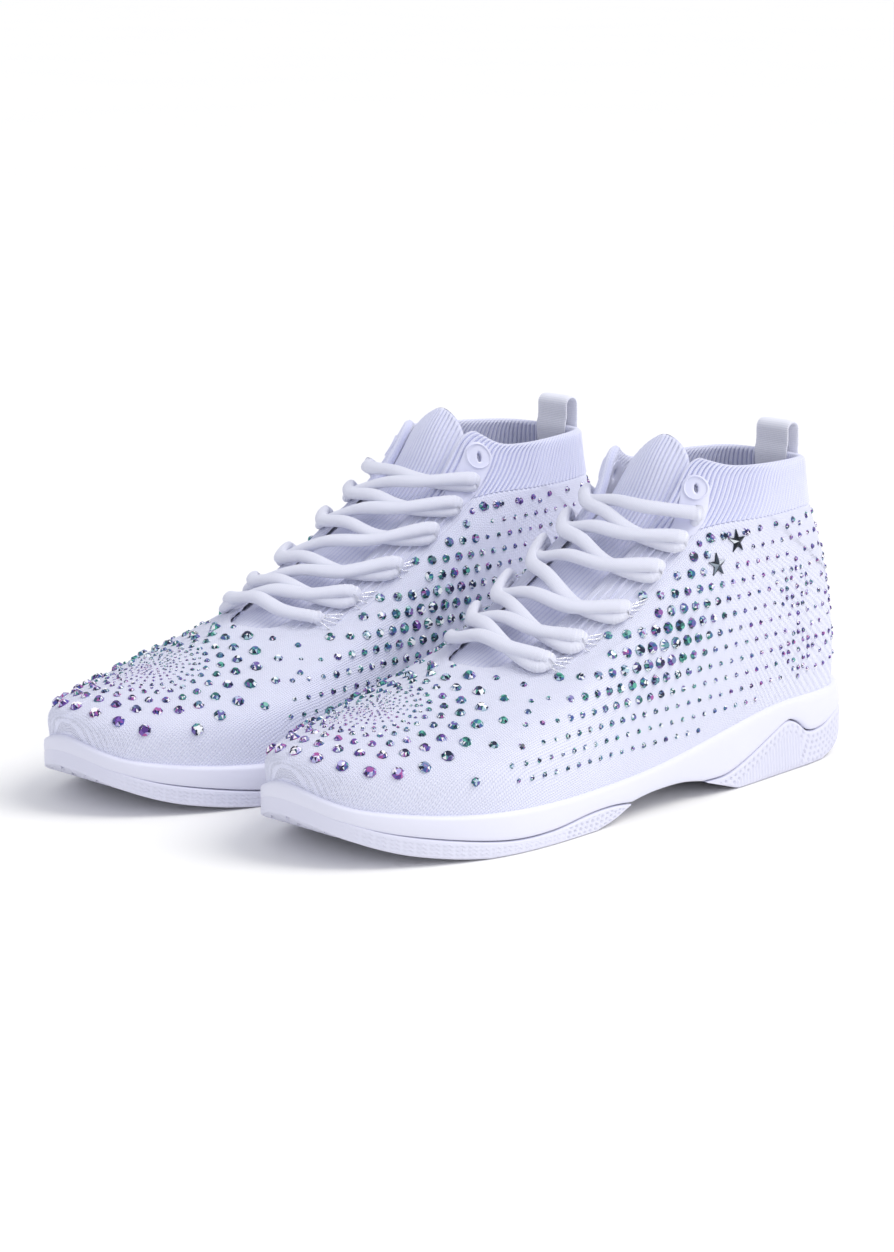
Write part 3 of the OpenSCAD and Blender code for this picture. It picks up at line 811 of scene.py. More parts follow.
def cut_slot(parts, places):
    """Cuts a slot through a shell, where its points lie inside an oval, and closes its wall."""
    (outer, outer_faces, uv), (inner, inner_faces, _), *rest = parts
    flat = outer.reshape(-1, 3)
    inside = np.zeros(len(flat), bool)
    for place in places:
        a, b = local_offsets(flat, place)
        near = np.linalg.norm(flat - skin(*place), axis=-1) < 12
        inside |= near & ((a / cut_half[0]) ** 2 + (b / cut_half[1]) ** 2 < 1)
    gone = inside[outer_faces].all(axis=1)
    edges = {}
    for face in outer_faces[gone].tolist():
        for k in range(4):
            edges[(face[k], face[(k + 1) % 4])] = True
    border = [(a, b) for a, b in edges if (b, a) not in edges]
    count = len(flat)
    wall = np.array([(b, a, a + count, b + count) for a, b in border])
    both = np.concatenate([flat, inner.reshape(-1, 3)])
    both_uv = np.concatenate([uv.reshape(-1, 2), uv.reshape(-1, 2)])
    faces = np.concatenate([outer_faces[~gone], inner_faces[~gone] + count, wall[:, ::-1]])
    return [(both, faces, both_uv), *rest]


collar_parts = shell(collar_u, collar_v, collar_high, collar_low, collar_uv)
collar_parts = cut_slot(collar_parts, [free for free, _ in EYELETS.values()])
# rib_shade is the painted shade colour of the rib grooves and stitch valleys of the collar and tongue.
rib_shade = (0.64, 0.66, 0.86)
rib_knit = knitted("rib_knit", 1.0, 0.85, knit_white, rib_shade, 0.00014, 0.7, rib=rib_pitch)
for side in SIDES:
    collar = piece(side + "_collar_ribs", side, collar_parts, crease=75)
    dress(collar, rib_knit, side + "_shoe", "rib_knit", side + "_rib_collar")

# --- Tongue ---
# A thin padded rib knit tongue, sewn in at the foot of the throat, with a broad
# round top that stands above the collar.
tongue_laced, tongue_cuffed = -knit_t + 0.3, -collar_t - 0.3
tongue_t = 2.6
tongue_foot, tongue_dome, tongue_top = 2.7, 4.74, 5.16
tongue_columns = 161


def tongue_half(v):
    dome = 1 - (np.clip(v - tongue_dome, 0, 1) / (tongue_top - tongue_dome)) ** 3.0
    return (0.75 + 0.4 * (v - tongue_foot)) * np.sqrt(np.clip(dome, 0, 1))


bend = np.sin(np.linspace(0, math.pi / 2, 40))
tongue_rows = np.concatenate([
    np.linspace(tongue_foot, tongue_dome, 60)[:-1], tongue_dome + (tongue_top - tongue_dome) * bend])
tongue_u = tongue_half(tongue_rows)[:, None] * np.linspace(-1, 1, tongue_columns)[None]
tongue_v = np.broadcast_to(tongue_rows[:, None], tongue_u.shape)
tongue_points = skin(tongue_u, tongue_v)
tongue_edge = np.concatenate([tongue_points[:, 0], tongue_points[:, -1]])
tongue_away = distance_to(tongue_points, tongue_edge)
tongue_middle = distance_to(tongue_points, centre_line) * np.sign(tongue_u)
padding = 0.9 * smoothstep(tongue_away, 0, 14)
tongue_rib = 0.7 * (np.abs(np.sin(math.pi * tongue_middle / rib_pitch)) - 0.6)
tongue_rib = tongue_rib * smoothstep(tongue_v, 3.5, 4.3) * smoothstep(tongue_away, 0.2, 2)
tongue_half_t = rolled(tongue_away, tongue_t)
tongue_high = tongue_laced + (tongue_cuffed - tongue_laced) * smoothstep(tongue_v, 3.7, 4.0)
tongue_parts = shell(
    tongue_u, tongue_v, tongue_high - tongue_t / 2 + tongue_half_t + tongue_rib + padding * 0.3,
    tongue_high - tongue_t / 2 - tongue_half_t - tongue_rib * 0.6 - padding,
    np.stack([tongue_middle + 100, (tongue_v - tongue_foot) * 45], -1),
)
for side in SIDES:
    tongue = piece(side + "_tongue_pad", side, tongue_parts, crease=75)
    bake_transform(tongue)
    dress(tongue, rib_knit, None, "rib_knit", side + "_tongue")

# --- Eyelet patches ---
# A smooth film is welded over the knit round the free eyelet and the top laced
# one, through the slot and over the inside. A raised ring runs round the slot.
film_reach = 5.2
ring_reach = 4.9
RING_SHARE = 0.8
GROMMET = [  # share of the way out from the slot, height over the skin
    (1.0, 0.05), (0.99, 0.34), (0.96, 0.46), (0.92, 0.48), (0.87, 0.48), (0.80, 0.48), (0.74, 0.56),
    (0.70, 0.95), (0.66, 1.08), (0.62, 0.95), (0.58, 0.56), (0.40, 0.50), (0.20, 0.50), (0.07, 0.48),
    (0.0, 0.25), (0.0, -1.6), (0.0, -3.4), (0.08, -3.75), (0.5, -3.80), (0.96, -3.70), (1.0, -3.3),
    (0.5, -3.2), (0.10, -3.2), (0.06, -1.6), (0.10, 0.0), (0.5, 0.02),
]
patch_film = Finish("patch_film")
film_grain = patch_film.noise(1200, 2)
film_cloud = patch_film.mapped(patch_film.noise(40), 0.35, 0.65, 0, 1)
patch_film.surface(
    color=patch_film.mix(film_cloud, (0.74, 0.755, 0.93), (0.79, 0.80, 0.95)),
    bump=film_grain, depth=0.00002, strength=0.5,
    roughness=patch_film.mapped(film_grain, 0.3, 0.7, 0.28, 0.38),
    coat=0.25, coat_roughness=0.3, specular=0.5,
)


def patch_shell(free, laced):
    """A film that is welded round a free eyelet, reaching to the laced one below it."""
    angle = np.linspace(0, 2 * math.pi, 97)[:-1]
    slot_a, slot_b = slot_half[0] * np.cos(angle), slot_half[1] * np.sin(angle)
    c, d = local_offsets(skin(*laced), free)
    reach = []
    for direction in np.stack([np.cos(angle), np.sin(angle)], -1):
        steps = np.linspace(0, 30, 1500)[:, None] * direction
        t = np.clip((steps @ [c, d]) / (c * c + d * d), 0, 1)[:, None]
        apart = np.linalg.norm(steps - t * [c, d], axis=1)
        reach.append(steps[np.nonzero(apart < film_reach)[0][-1]])
    reach = np.array(reach)
    origin, across, up, _ = tangent_frame(*free)
    small = 0.02
    slopes = []
    for du, dv in ((small, 0), (0, small)):
        step = (skin(free[0] + du, free[1] + dv) - origin) / small
        slopes.append([step @ across, step @ up])
    to_uv = np.linalg.inv(np.array(slopes))
    rings_made = []
    slot = np.stack([slot_a, slot_b], -1)
    ring = np.stack([np.cos(angle), np.sin(angle)], -1) * ring_reach
    for share, height in GROMMET:
        if share <= RING_SHARE:
            flat = slot + (ring - slot) * share / RING_SHARE
        else:
            flat = ring + (reach - ring) * (share - RING_SHARE) / (1 - RING_SHARE)
        uv = np.array(free) + flat @ to_uv
        lift = height + flap_flare(uv[:, 0], uv[:, 1])
        rings_made.append(over(uv[:, 0], uv[:, 1], lift))
    rings_made.append(rings_made[0])
    points = np.array(rings_made)
    return [(points, grid(len(points), len(angle), wrap=True, flip=True), None)]


for side in SIDES:
    patch_parts = [part for pair in EYELETS.values() for part in patch_shell(*pair)]
    patches = piece(side + "_eyelet_film", side, patch_parts, crease=50)
    dress(patches, patch_film.material, side + "_shoe", "patch_film", side + "_eyelet_patches")

# --- Lace loops ---
# Fans of clear nylon line hold the lace at its three lowest rows on each side.
# Each line leaves the lace's turn, lies over the knit and sinks into it.
# The lace's turns round each edge of the throat, from the top row down, as (u, v).
OUTER_TURNS = [(2.1, 4.16), (2.05, 3.88), (2.0, 3.64), (2.0, 3.33), (1.6, 3.14), (1.35, 2.97)]
INNER_TURNS = [(-2.1, 4.19), (-2.05, 3.9), (-2.0, 3.66), (-1.85, 3.4), (-1.5, 3.2), (-1.25, 3.03)]
line_d = 0.5


def smooth_route(points, steps):
    """A route through given points, rounded between them."""
    pts = np.array([points[0], *points, points[-1]], float)
    t = np.linspace(0, 1, steps + 1)[:-1, None]
    made = [spline(*pts[k:k + 4], t) for k in range(len(points) - 1)]
    return np.concatenate([*made, [points[-1]]])


def oval(sides, edge_power, face_power):
    """A unit section as two lists of offsets. Powers below one square it off."""
    angle = np.linspace(0, 2 * math.pi, sides + 1)
    c, s = np.cos(angle), np.sin(angle)
    return np.sign(c) * np.abs(c) ** edge_power, np.sign(s) * np.abs(s) ** face_power


def capped(points, uv):
    """The wall through rows of section points, with a cap at both ends."""
    sides = points.shape[1] - 1
    return [
        (points, grid(len(points), sides + 1), uv),
        (points[0, :-1], np.arange(sides)[None], uv[0, :-1]),
        (points[-1, :-1], np.arange(sides)[None, ::-1], uv[-1, :-1]),
    ]


def tube(route, across, width, height, sides, power=1.0, relief=0.0):
    """A tube of oval section along a route, its width lying across the route. The ends are rounded."""
    along = unit(np.gradient(route, axis=0))
    n = unit(np.cross(across, along))
    b = np.cross(along, n)
    run = run_along(route)
    ends = np.minimum(run, run[-1] - run)
    close = np.sqrt(np.clip(1 - (1 - np.clip(ends / (height / 2), 0, 1)) ** 2, 0, 1))
    close = np.maximum(close, 0.02)
    c, s = oval(sides, power, power)
    size = (close + np.broadcast_to(relief, close.shape))[:, None, None]
    section = width / 2 * c[None, :, None] * b[:, None] + height / 2 * s[None, :, None] * n[:, None]
    points = route[:, None] + size * section
    girth_run = np.linspace(0, 1, sides + 1) * (width + height) * 1.5
    uv = np.stack(np.broadcast_arrays(girth_run[None] + 50, run[:, None]), -1)
    return capped(points, uv)


clear_nylon = Finish("clear_nylon")
nylon_grain = clear_nylon.noise(2500, 2)
clear_nylon.surface(
    color=clear_nylon.mix(nylon_grain, (0.90, 0.91, 0.97), (0.98, 0.98, 1.0)),
    bump=nylon_grain, depth=0.00002, strength=0.4,
    roughness=clear_nylon.mapped(nylon_grain, 0.3, 0.7, 0.10, 0.22),
    transmission=0.45, ior=1.5, specular=0.8,
)
loop_parts = []
for turns in (OUTER_TURNS, INNER_TURNS):
    for u0, v0 in turns[3:]:
        way = 1 if u0 > 0 else -1
        for spread in (-1.0, -0.35, 0.3, 0.95):
            t = np.linspace(0, 1, 13)
            loop_u = u0 + way * (0.50 * t - 0.05 * abs(spread) * t)
            loop_v = v0 + spread * (0.012 + 0.075 * t) - 0.05 * t
            lift = 2.2 * (1 - t) ** 1.3 + 0.75 * np.sin(math.pi * t) - 0.5 * t**6
            loop_parts += tube(over(loop_u, loop_v, lift + 0.25), outward(u0, v0), line_d, line_d, 8)
for side in SIDES:
    loops = piece(side + "_nylon_loops", side, loop_parts, crease=60)
    dress(loops, clear_nylon.material, side + "_shoe", "clear_line", side + "_lace_loops")

# --- Lace ---
# One oval woven lace a shoe, laced in six rows from edge to edge over the
# tongue. Both ends go in through their eyelets and are tucked inside.
lace_w, lace_t = 5.4, 3.6
lace_under, lace_top, lace_rise = 2.0, 4.5, 1.1  # heights over the skin
lace_across = unit(np.array([0, 83.0, 58.0]))


def turn(k):
    """The three points of one turn round an edge: in, round, out."""
    u0, v0 = (OUTER_TURNS if k % 2 == 0 else INNER_TURNS)[k // 2]
    way = 1 if k % 2 == 0 else -1
    return [
        (u0 - way * 0.10, v0 - 0.030, lace_under),
        (u0 + way * 0.10, v0, (lace_under + lace_top) / 2 - 0.6),
        (u0 - way * 0.12, v0 + 0.030, lace_top),
    ]


swell_way = (0, 0.035, 1)


def strand(a, b):
    """The strand between two turns, raised in the middle."""
    made = []
    for t in (0.25, 0.5, 0.75):
        swell = lace_rise * math.sin(math.pi * t)
        made.append([a[i] + (b[i] - a[i]) * t + swell * swell_way[i] for i in range(3)])
    return made


lace_course = [(2.16, 4.10, -2.2), (2.2, 4.13, 1.4), (2.14, 4.16, 4.2)]
for k in range(12):
    if k == 0:
        lace_course += [(1.98, 4.165, lace_top)]
    elif k == 11:
        u0, v0 = INNER_TURNS[5]
        lace_course += [(u0 + 0.12, v0, lace_under + 1.0), (u0 - 0.03, v0, 1.6), (u0 - 0.09, v0, -2.2)]
    else:
        lace_course += turn(k)
    if k < 11:
        lace_course += strand(turn(k)[2], turn(k + 1)[0])
course_uv = np.array(lace_course)
lace_route = smooth_route(over(course_uv[:, 0], course_uv[:, 1], course_uv[:, 2]), 14)
lace_run = run_along(lace_route)
turn_spots = [over(u0, v0, 3.5) for turns in (OUTER_TURNS, INNER_TURNS) for u0, v0 in turns]
near_turn = np.min([np.linalg.norm(lace_route - spot, axis=1) for spot in turn_spots], axis=0)
wrinkle = 0.035 * np.sin(lace_run * 2 * math.pi / 1.9 + 1.3 * np.sin(lace_run / 7))
wrinkle = wrinkle * (1 - smoothstep(near_turn, 3, 9))
drift = 0.04 * np.sin(lace_run / 9.5) + 0.03 * np.sin(lace_run / 4.1 + 1)
lace_parts = tube(lace_route, lace_across, lace_w, lace_t, 28, 0.92, wrinkle + drift)
# Through knitted, the braid's hollows are painted in the darker colour: painted shade.
woven_lace = knitted("woven_lace", 0.62, 0.85, (0.88, 0.89, 0.98), (0.72, 0.74, 0.91), 0.00016, 0.8)
for side in SIDES:
    lace = piece(side + "_oval_lace", side, lace_parts, crease=70)
    dress(lace, woven_lace, side + "_shoe", "lace_braid", side + "_lace")

# --- Pull tab ---
# One strap of webbing, 16 mm wide, is sewn to the collar inside and outside
# and stands over the rim as a loop.
strap_w, strap_t = 16.0, 1.5
bow_y, bow_z, bow_r = -19.6, 124.3, 2.95
bow_angles = np.linspace(0.15, math.pi - 0.15, 9)
bow = [(bow_y + bow_r * math.cos(a), bow_z + bow_r * math.sin(a)) for a in bow_angles]
STRAP = [
    (-13.5, 97.9), (-14.5, 103.5), (-15.6, 109.0), (-16.5, 114.6), (-16.62, 119.5), (-16.65, 123.0), *bow,
    (-22.55, 123.0), (-22.6, 119.5), (-23.4, 114.8), (-22.7, 109.0), (-21.8, 103.8),
]
strap_line = smooth_route([(0, y, z) for y, z in STRAP], 8)
webbing = Finish("webbing")
weft_turn, warp_turn = 4.4, 7.5  # radians per millimetre
web_across, web_along = webbing.uv()
rib_height = webbing.math("ABSOLUTE", webbing.math("SINE", webbing.math("MULTIPLY", web_along, weft_turn)))
slant = webbing.math("ADD", webbing.math("MULTIPLY", web_across, warp_turn), web_along)
web_height = webbing.math("ADD", rib_height, webbing.math("MULTIPLY", webbing.math("SINE", slant), 0.3))
# Painted shade and highlight: the weave's hollows take the darker colour and its ridges the lighter one.
web_light = webbing.mapped(web_height, 0, 1.1, 0, 1)
webbing.surface(
    color=webbing.mix(web_light, (0.84, 0.85, 0.94), (0.92, 0.925, 0.98)),
    bump=web_height, depth=0.00008, strength=0.7,
    roughness=webbing.mapped(webbing.noise(900), 0.3, 0.7, 0.55, 0.75), sheen=0.2,
)
strap_sides = 34
sideways = np.array([1.0, 0, 0])


def strap_section(route):
    """A flat strap with rounded edges along a route in the plane of the shoe's middle."""
    along = unit(np.gradient(route, axis=0))
    n = np.cross(sideways, along)
    c, s = oval(strap_sides, 0.35, 0.8)
    run = run_along(route)
    selvedge = 1 + 0.012 * np.cos(run * weft_turn * 2)[:, None, None] * (np.abs(c) > 0.9)[None, :, None]
    section = strap_w / 2 * c[None, :, None] * sideways + strap_t / 2 * s[None, :, None] * n[:, None]
    points = route[:, None] + selvedge * section
    uv = np.stack(np.broadcast_arrays((strap_w / 2 * c)[None] + 30, run[:, None] + 30), -1)
    return capped(points, uv)


for side in SIDES:
    strap = piece(side + "_webbing_strap", side, strap_section(strap_line), crease=60)
    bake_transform(strap)
    dress(strap, webbing.material, None, "webbing", side + "_pull_tab_legs", side + "_pull_tab_loop")

# --- Crystals, chips and stars ---
# Flat-back stones of coated glass and two metal stars, glued to the knit and set
# by one Geometry Nodes tree. The large stones and the stars stand for CAD
# solids, and the small chips between them are shown only here.


def scatter_tree():
    """Sets a shape on each point, turned and sized by the point's attributes. Each facet gets a random
    number, from which the finish takes its color."""
    tree = bpy.data.node_groups.new("scatter", "GeometryNodeTree")
    for name, kind in (("Geometry", "Geometry"), ("Shape", "Object"), ("Finish", "Material"),
                       ("Size", "Float"), ("Seed", "Int")):
        tree.interface.new_socket(name, in_out="INPUT", socket_type="NodeSocket" + kind)
    tree.interface.new_socket("Geometry", in_out="OUTPUT", socket_type="NodeSocketGeometry")

    def node(kind, name=None, **settings):
        made = tree.nodes.new(kind)
        for key, value in settings.items():
            setattr(made, key, value)
        if name:
            made.inputs["Name"].default_value = name
        return made

    def live(sockets, name):
        """The socket of that name that is in use for the node's own data type."""
        return next(s for s in sockets if s.name == name and s.enabled)

    given, result = node("NodeGroupInput"), node("NodeGroupOutput")
    turned = node("GeometryNodeInputNamedAttribute", "turn", data_type="FLOAT_VECTOR")
    sized = node("GeometryNodeInputNamedAttribute", "size", data_type="FLOAT")
    scale = node("ShaderNodeMath", operation="MULTIPLY")
    shape = node("GeometryNodeObjectInfo")
    rotation = node("FunctionNodeEulerToRotation")
    spread = node("GeometryNodeInstanceOnPoints")
    solid = node("GeometryNodeRealizeInstances")
    chance = node("FunctionNodeRandomValue")
    facet = node("GeometryNodeStoreNamedAttribute", "facet", data_type="FLOAT", domain="FACE")
    painted = node("GeometryNodeSetMaterial")
    link = tree.links.new
    link(given.outputs["Geometry"], spread.inputs["Points"])
    link(given.outputs["Shape"], shape.inputs["Object"])
    link(shape.outputs["Geometry"], spread.inputs["Instance"])
    link(live(turned.outputs, "Attribute"), rotation.inputs[0])
    link(rotation.outputs[0], spread.inputs["Rotation"])
    link(live(sized.outputs, "Attribute"), scale.inputs[0])
    link(given.outputs["Size"], scale.inputs[1])
    link(scale.outputs[0], spread.inputs["Scale"])
    link(spread.outputs[0], solid.inputs[0])
    link(given.outputs["Seed"], chance.inputs["Seed"])
    link(solid.outputs[0], facet.inputs["Geometry"])
    link(live(chance.outputs, "Value"), live(facet.inputs, "Value"))
    link(facet.outputs[0], painted.inputs["Geometry"])
    link(given.outputs["Finish"], painted.inputs["Material"])
    link(painted.outputs[0], result.inputs[0])
    return tree


scatter = scatter_tree()


shape_scale = 1.0


def scattered(name, side, shape, material, places, seed):
    """A mesh of shapes at places, which holds (point, outward, along, size, violet) in the shoe's frame, in
    millimetres. The lean to violet goes with each shape as an attribute."""
    flip = np.array([1 if side == "left" else -1, 1, 1])
    points = placed(np.array([p[0] for p in places]), side)
    mesh = bpy.data.meshes.new(name)
    mesh.from_pydata(points.tolist(), [], [])
    turns = []
    for _, n, along, _, _ in places:
        z = Vector(n * flip).normalized()
        x = Vector(along * flip)
        x = (x - z * x.dot(z)).normalized()
        turns.append(Matrix((x, z.cross(x), z)).transposed().to_euler())
    turn_data = mesh.attributes.new("turn", "FLOAT_VECTOR", "POINT").data
    turn_data.foreach_set("vector", np.array(turns, np.float32).ravel())
    for key, column, factor in (("size", 3, 0.001), ("violet", 4, 1.0)):
        values = np.array([p[column] for p in places], np.float32) * factor
        mesh.attributes.new(key, "FLOAT", "POINT").data.foreach_set("value", values)
    holder = bpy.data.objects.new(name + "_points", mesh)
    bpy.context.scene.collection.objects.link(holder)
    spreader = holder.modifiers.new("scatter", "NODES")
    spreader.node_group = scatter
    keys = {s.name: s.identifier for s in scatter.interface.items_tree if s.in_out == "INPUT"}
    for key, value in (("Shape", shape), ("Finish", material), ("Size", shape_scale), ("Seed", seed)):
        spreader[keys[key]] = value
    bpy.context.view_layer.update()
    ready = holder.evaluated_get(bpy.context.evaluated_depsgraph_get())
    made = bpy.data.objects.new(name, bpy.data.meshes.new_from_object(ready))
    made.data.name = name
    bpy.context.scene.collection.objects.link(made)
    holder.modifiers.remove(spreader)
    bpy.data.objects.remove(holder)
    return made


def shape_object(name, points, faces):
    mesh = bpy.data.meshes.new(name)
    mesh.from_pydata([tuple(map(float, p)) for p in points], [], faces)
    return bpy.data.objects.new(name, mesh)


def cut_stone():
    """A flat-back stone one unit across: a low girdle, sixteen crown facets and a turned table."""
    eighth = [2 * math.pi * k / 8 for k in range(8)]
    levels = [(0.5, 0.0, 0), (0.5, 0.10, 0), (0.28, 0.37, math.pi / 8)]
    points = [(r * math.cos(a + s), r * math.sin(a + s), z) for r, z, s in levels for a in eighth]
    faces = [tuple(range(7, -1, -1)), tuple(range(16, 24))]
    for k in range(8):
        following = (k + 1) % 8
        faces += [(k, following, 8 + following, 8 + k), (8 + k, 8 + following, 16 + k),
                  (8 + following, 16 + following, 16 + k)]
    return shape_object("cut_stone", points, faces)


def cut_star():
    """A five-pointed star one unit across, raised to a ridge down each point."""
    tip_r, dent_r, edge_h, ridge_h = 0.5, 0.2, 0.06, 0.16
    points = []
    for z in (0.0, edge_h):
        for k in range(10):
            r, a = (tip_r, dent_r)[k % 2], math.pi * k / 5
            points.append((r * math.cos(a), r * math.sin(a), z))
    points.append((0, 0, ridge_h))
    faces = [tuple(range(9, -1, -1))]
    for k in range(10):
        following = (k + 1) % 10
        faces += [(k, following, 10 + following, 10 + k), (10 + k, 10 + following, 20)]
    return shape_object("cut_star", points, faces)


stone_shape = cut_stone()
star_shape = cut_star()
# Facet colours of the coated stones. Their green and violet tints are the coating's own. How dark or bright
# each step is stands for reflection: the dark steps are painted reflection and the near-white top steps are
# painted glints.
GREEN_REFLECTION_RAMP = [
    (0.0, (0.010, 0.016, 0.045)), (0.18, (0.02, 0.13, 0.12)), (0.34, (0.10, 0.42, 0.32)),
    (0.48, (0.04, 0.14, 0.28)), (0.60, (0.14, 0.12, 0.38)), (0.72, (0.45, 0.62, 0.70)),
    (0.84, (0.97, 1.0, 1.0)),
]
VIOLET_REFLECTION_RAMP = [
    (0.0, (0.016, 0.012, 0.055)), (0.18, (0.10, 0.04, 0.24)), (0.34, (0.20, 0.09, 0.42)),
    (0.48, (0.06, 0.08, 0.34)), (0.60, (0.42, 0.10, 0.34)), (0.72, (0.50, 0.46, 0.78)),
    (0.84, (1.0, 0.96, 1.0)),
]
# Facet colours of the metal stars: the steps from near-black to pale are painted reflection on the metal, and
# the palest is a painted highlight.
STAR_REFLECTION_RAMP = [
    (0.0, (0.015, 0.02, 0.03)), (0.45, (0.06, 0.08, 0.11)), (0.72, (0.30, 0.36, 0.42)),
    (0.9, (0.75, 0.80, 0.85)),
]


def ramp(made, factor, stops):
    """Steps of color, with no blending between them."""
    node = made.node("ShaderNodeValToRGB", {"Fac": factor})
    node.color_ramp.interpolation = "CONSTANT"
    while len(node.color_ramp.elements) < len(stops):
        node.color_ramp.elements.new(0.5)
    for element, (position, color) in zip(node.color_ramp.elements, stops):
        element.position = position
        element.color = (*color, 1)
    return node.outputs["Color"]


def crystal(name):
    """Coated glass: each facet takes a colour from the ramps, the coating's own tint with painted reflection
    and painted glints, and the whole leans from green to violet.
    """
    made = Finish(name)
    facet = made.node("ShaderNodeAttribute", attribute_name="facet").outputs["Fac"]
    violet = made.node("ShaderNodeAttribute", attribute_name="violet").outputs["Fac"]
    drift = made.mapped(made.noise(420, 1), 0.35, 0.65, -0.12, 0.12)
    hue = made.math("FRACT", made.math("ADD", made.math("ADD", facet, drift), 1.0))
    stray = made.math("SUBTRACT", made.math("FRACT", made.math("MULTIPLY", facet, 7.3)), 0.5)
    lean = made.mapped(made.math("ADD", violet, made.math("MULTIPLY", stray, 0.9)), 0.2, 0.8, 0.0, 1.0)
    color = made.mix(lean, ramp(made, hue, GREEN_REFLECTION_RAMP), ramp(made, hue, VIOLET_REFLECTION_RAMP))
    return made.surface(
        color=color, roughness=made.mapped(made.noise(2000), 0.3, 0.7, 0.06, 0.16), ior=1.5, specular=0.35,
    )


crystal_finish = crystal("coated_crystal")
star_finish = Finish("star_metal")
# Each star facet takes a random step of painted reflection.
star_facet = star_finish.node("ShaderNodeAttribute", attribute_name="facet").outputs["Fac"]
star_finish.surface(
    color=ramp(star_finish, star_facet, STAR_REFLECTION_RAMP),
    roughness=star_finish.mapped(star_finish.noise(1500), 0.3, 0.7, 0.10, 0.25), metallic=0.7, specular=0.6,
)


stone_height_share = 0.35  # of a CAD stone's width


def stone_places(node):
    """Base, direction and size of each stone of a CAD node, in the left shoe's frame, in millimetres."""
    solid = frame["nodes"]["left_" + node]
    origin = placed([0, 0, 0], "left")
    work = bmesh.new()
    work.from_mesh(solid.data)
    work.transform(solid.matrix_world)
    bmesh.ops.remove_doubles(work, verts=work.verts, dist=1e-6)
    seen, found = set(), []
    for start in work.verts:
        if start in seen:
            continue
        group, queue = [], [start]
        seen.add(start)
        while queue:
            vert = queue.pop()
            group.append(vert)
            for edge in vert.link_edges:
                other = edge.other_vert(vert)
                if other not in seen:
                    seen.add(other)
                    queue.append(other)
        corners = (np.array([v.co for v in group]) - origin) * 1000
        steps = corners[1:] - corners[0]
        rise = steps[np.argmin(np.linalg.norm(steps, axis=1))]
        high = np.linalg.norm(rise)
        middle = corners.mean(axis=0)
        n = rise / high
        foot_middle = [0, np.clip(middle[1], -210, -60), 30]
        n = n * np.sign(n @ (middle - foot_middle))
        found.append((middle - n * high / 2, n, high / stone_height_share))
    work.free()
    return found


work = bmesh.new()
work.from_mesh(bpy.data.objects["left_upper_knit"].data)
left_knit = BVHTree.FromBMesh(work)
work.free()
left_origin = placed([0, 0, 0], "left")


def on_knit(point):
    """The nearest spot of the knit's outside to a point in the left shoe's frame, and its direction."""
    spot, n, _, _ = left_knit.find_nearest(Vector(np.asarray(point) / 1000 + left_origin))
    return (np.array(spot) - left_origin) * 1000, np.array(n)


STARS = ((3.55, 3.67), (3.45, 3.38))
burst_v, burst_rays = 2.17, 24
burst = skin(0, burst_v)
heel_violet = 0.7
bedding = 0.08  # how deep a stone is pressed into the knit
growth = 1.15  # of a shown stone over the CAD's
smallest_stone = 1.9
wide_band, wide_reach, wide_extra = 19, 15, 2.0  # the belt of larger stones along the throat
lace_tree = tree_of(lace_route)
throat_tree = tree_of(throat_line[:len(throat_line) // 2])
random = np.random.default_rng(7)


def toe_violet(y):
    """Stones of the sunburst turn from green behind it to violet at the toe."""
    return 0.2 + 0.6 * float(smoothstep(burst[1] + 6 - y, 0, 26))


def side_violet(y):
    """Stones of the sides turn from green in front to violet at the heel."""
    return 0.15 + 0.7 * float(smoothstep(y, -105, -60))


stones = []
for node in ("toe_stones", "outer_side_stones", "inner_side_stones", "heel_stones"):
    for base, n, d in stone_places(node):
        spot, facing = on_knit(base)
        facing = unit(0.6 * n + 0.4 * facing + random.normal(0, 0.03, 3))
        lean = {"toe_stones": toe_violet(spot[1]), "heel_stones": heel_violet}.get(node, side_violet(spot[1]))
        lean = min(1.0, max(0.0, lean + random.normal(0, 0.18)))
        size = d * growth
        if d <= smallest_stone and node != "toe_stones":
            size = max(size, smallest_stone)
        if "side" in node:
            from_throat = throat_tree.find(Vector(np.abs(spot) * [1, -1, 1]))[2]
            belt = math.exp(-((from_throat - wide_band) / wide_reach) ** 2) * (0.78, 1.0)[len(stones) % 2]
            size = max(size, smallest_stone + wide_extra * belt)
        stones.append((spot - facing * bedding, facing, random.normal(0, 1, 3), size, lean, node))
spots = tree_of([stone[0] for stone in stones])
chips = []
taken = []


def add_chip(point, size, lean, clear, apart=None):
    """Adds a chip, unless it comes within clear of a stone or too near to another chip."""
    spot, facing = on_knit(point)
    _, index, away = spots.find(Vector(spot))
    if away < clear + size / 2 + stones[index][3] / 2:
        return
    if taken and np.linalg.norm(np.array(taken) - spot, axis=1).min() < (apart or size + 0.12):
        return
    taken.append(spot)
    facing = unit(facing + random.normal(0, 0.05, 3))
    chips.append((spot - facing * bedding, facing, random.normal(0, 1, 3), size, min(1, max(0, lean))))


def cast(start, direction):
    """The knit's outside where a ray first meets it, in the left shoe's frame, or None."""
    spot, n, _, _ = left_knit.ray_cast(Vector(np.asarray(start) / 1000 + left_origin), Vector(direction))
    return None if spot is None else (np.array(spot) - left_origin) * 1000


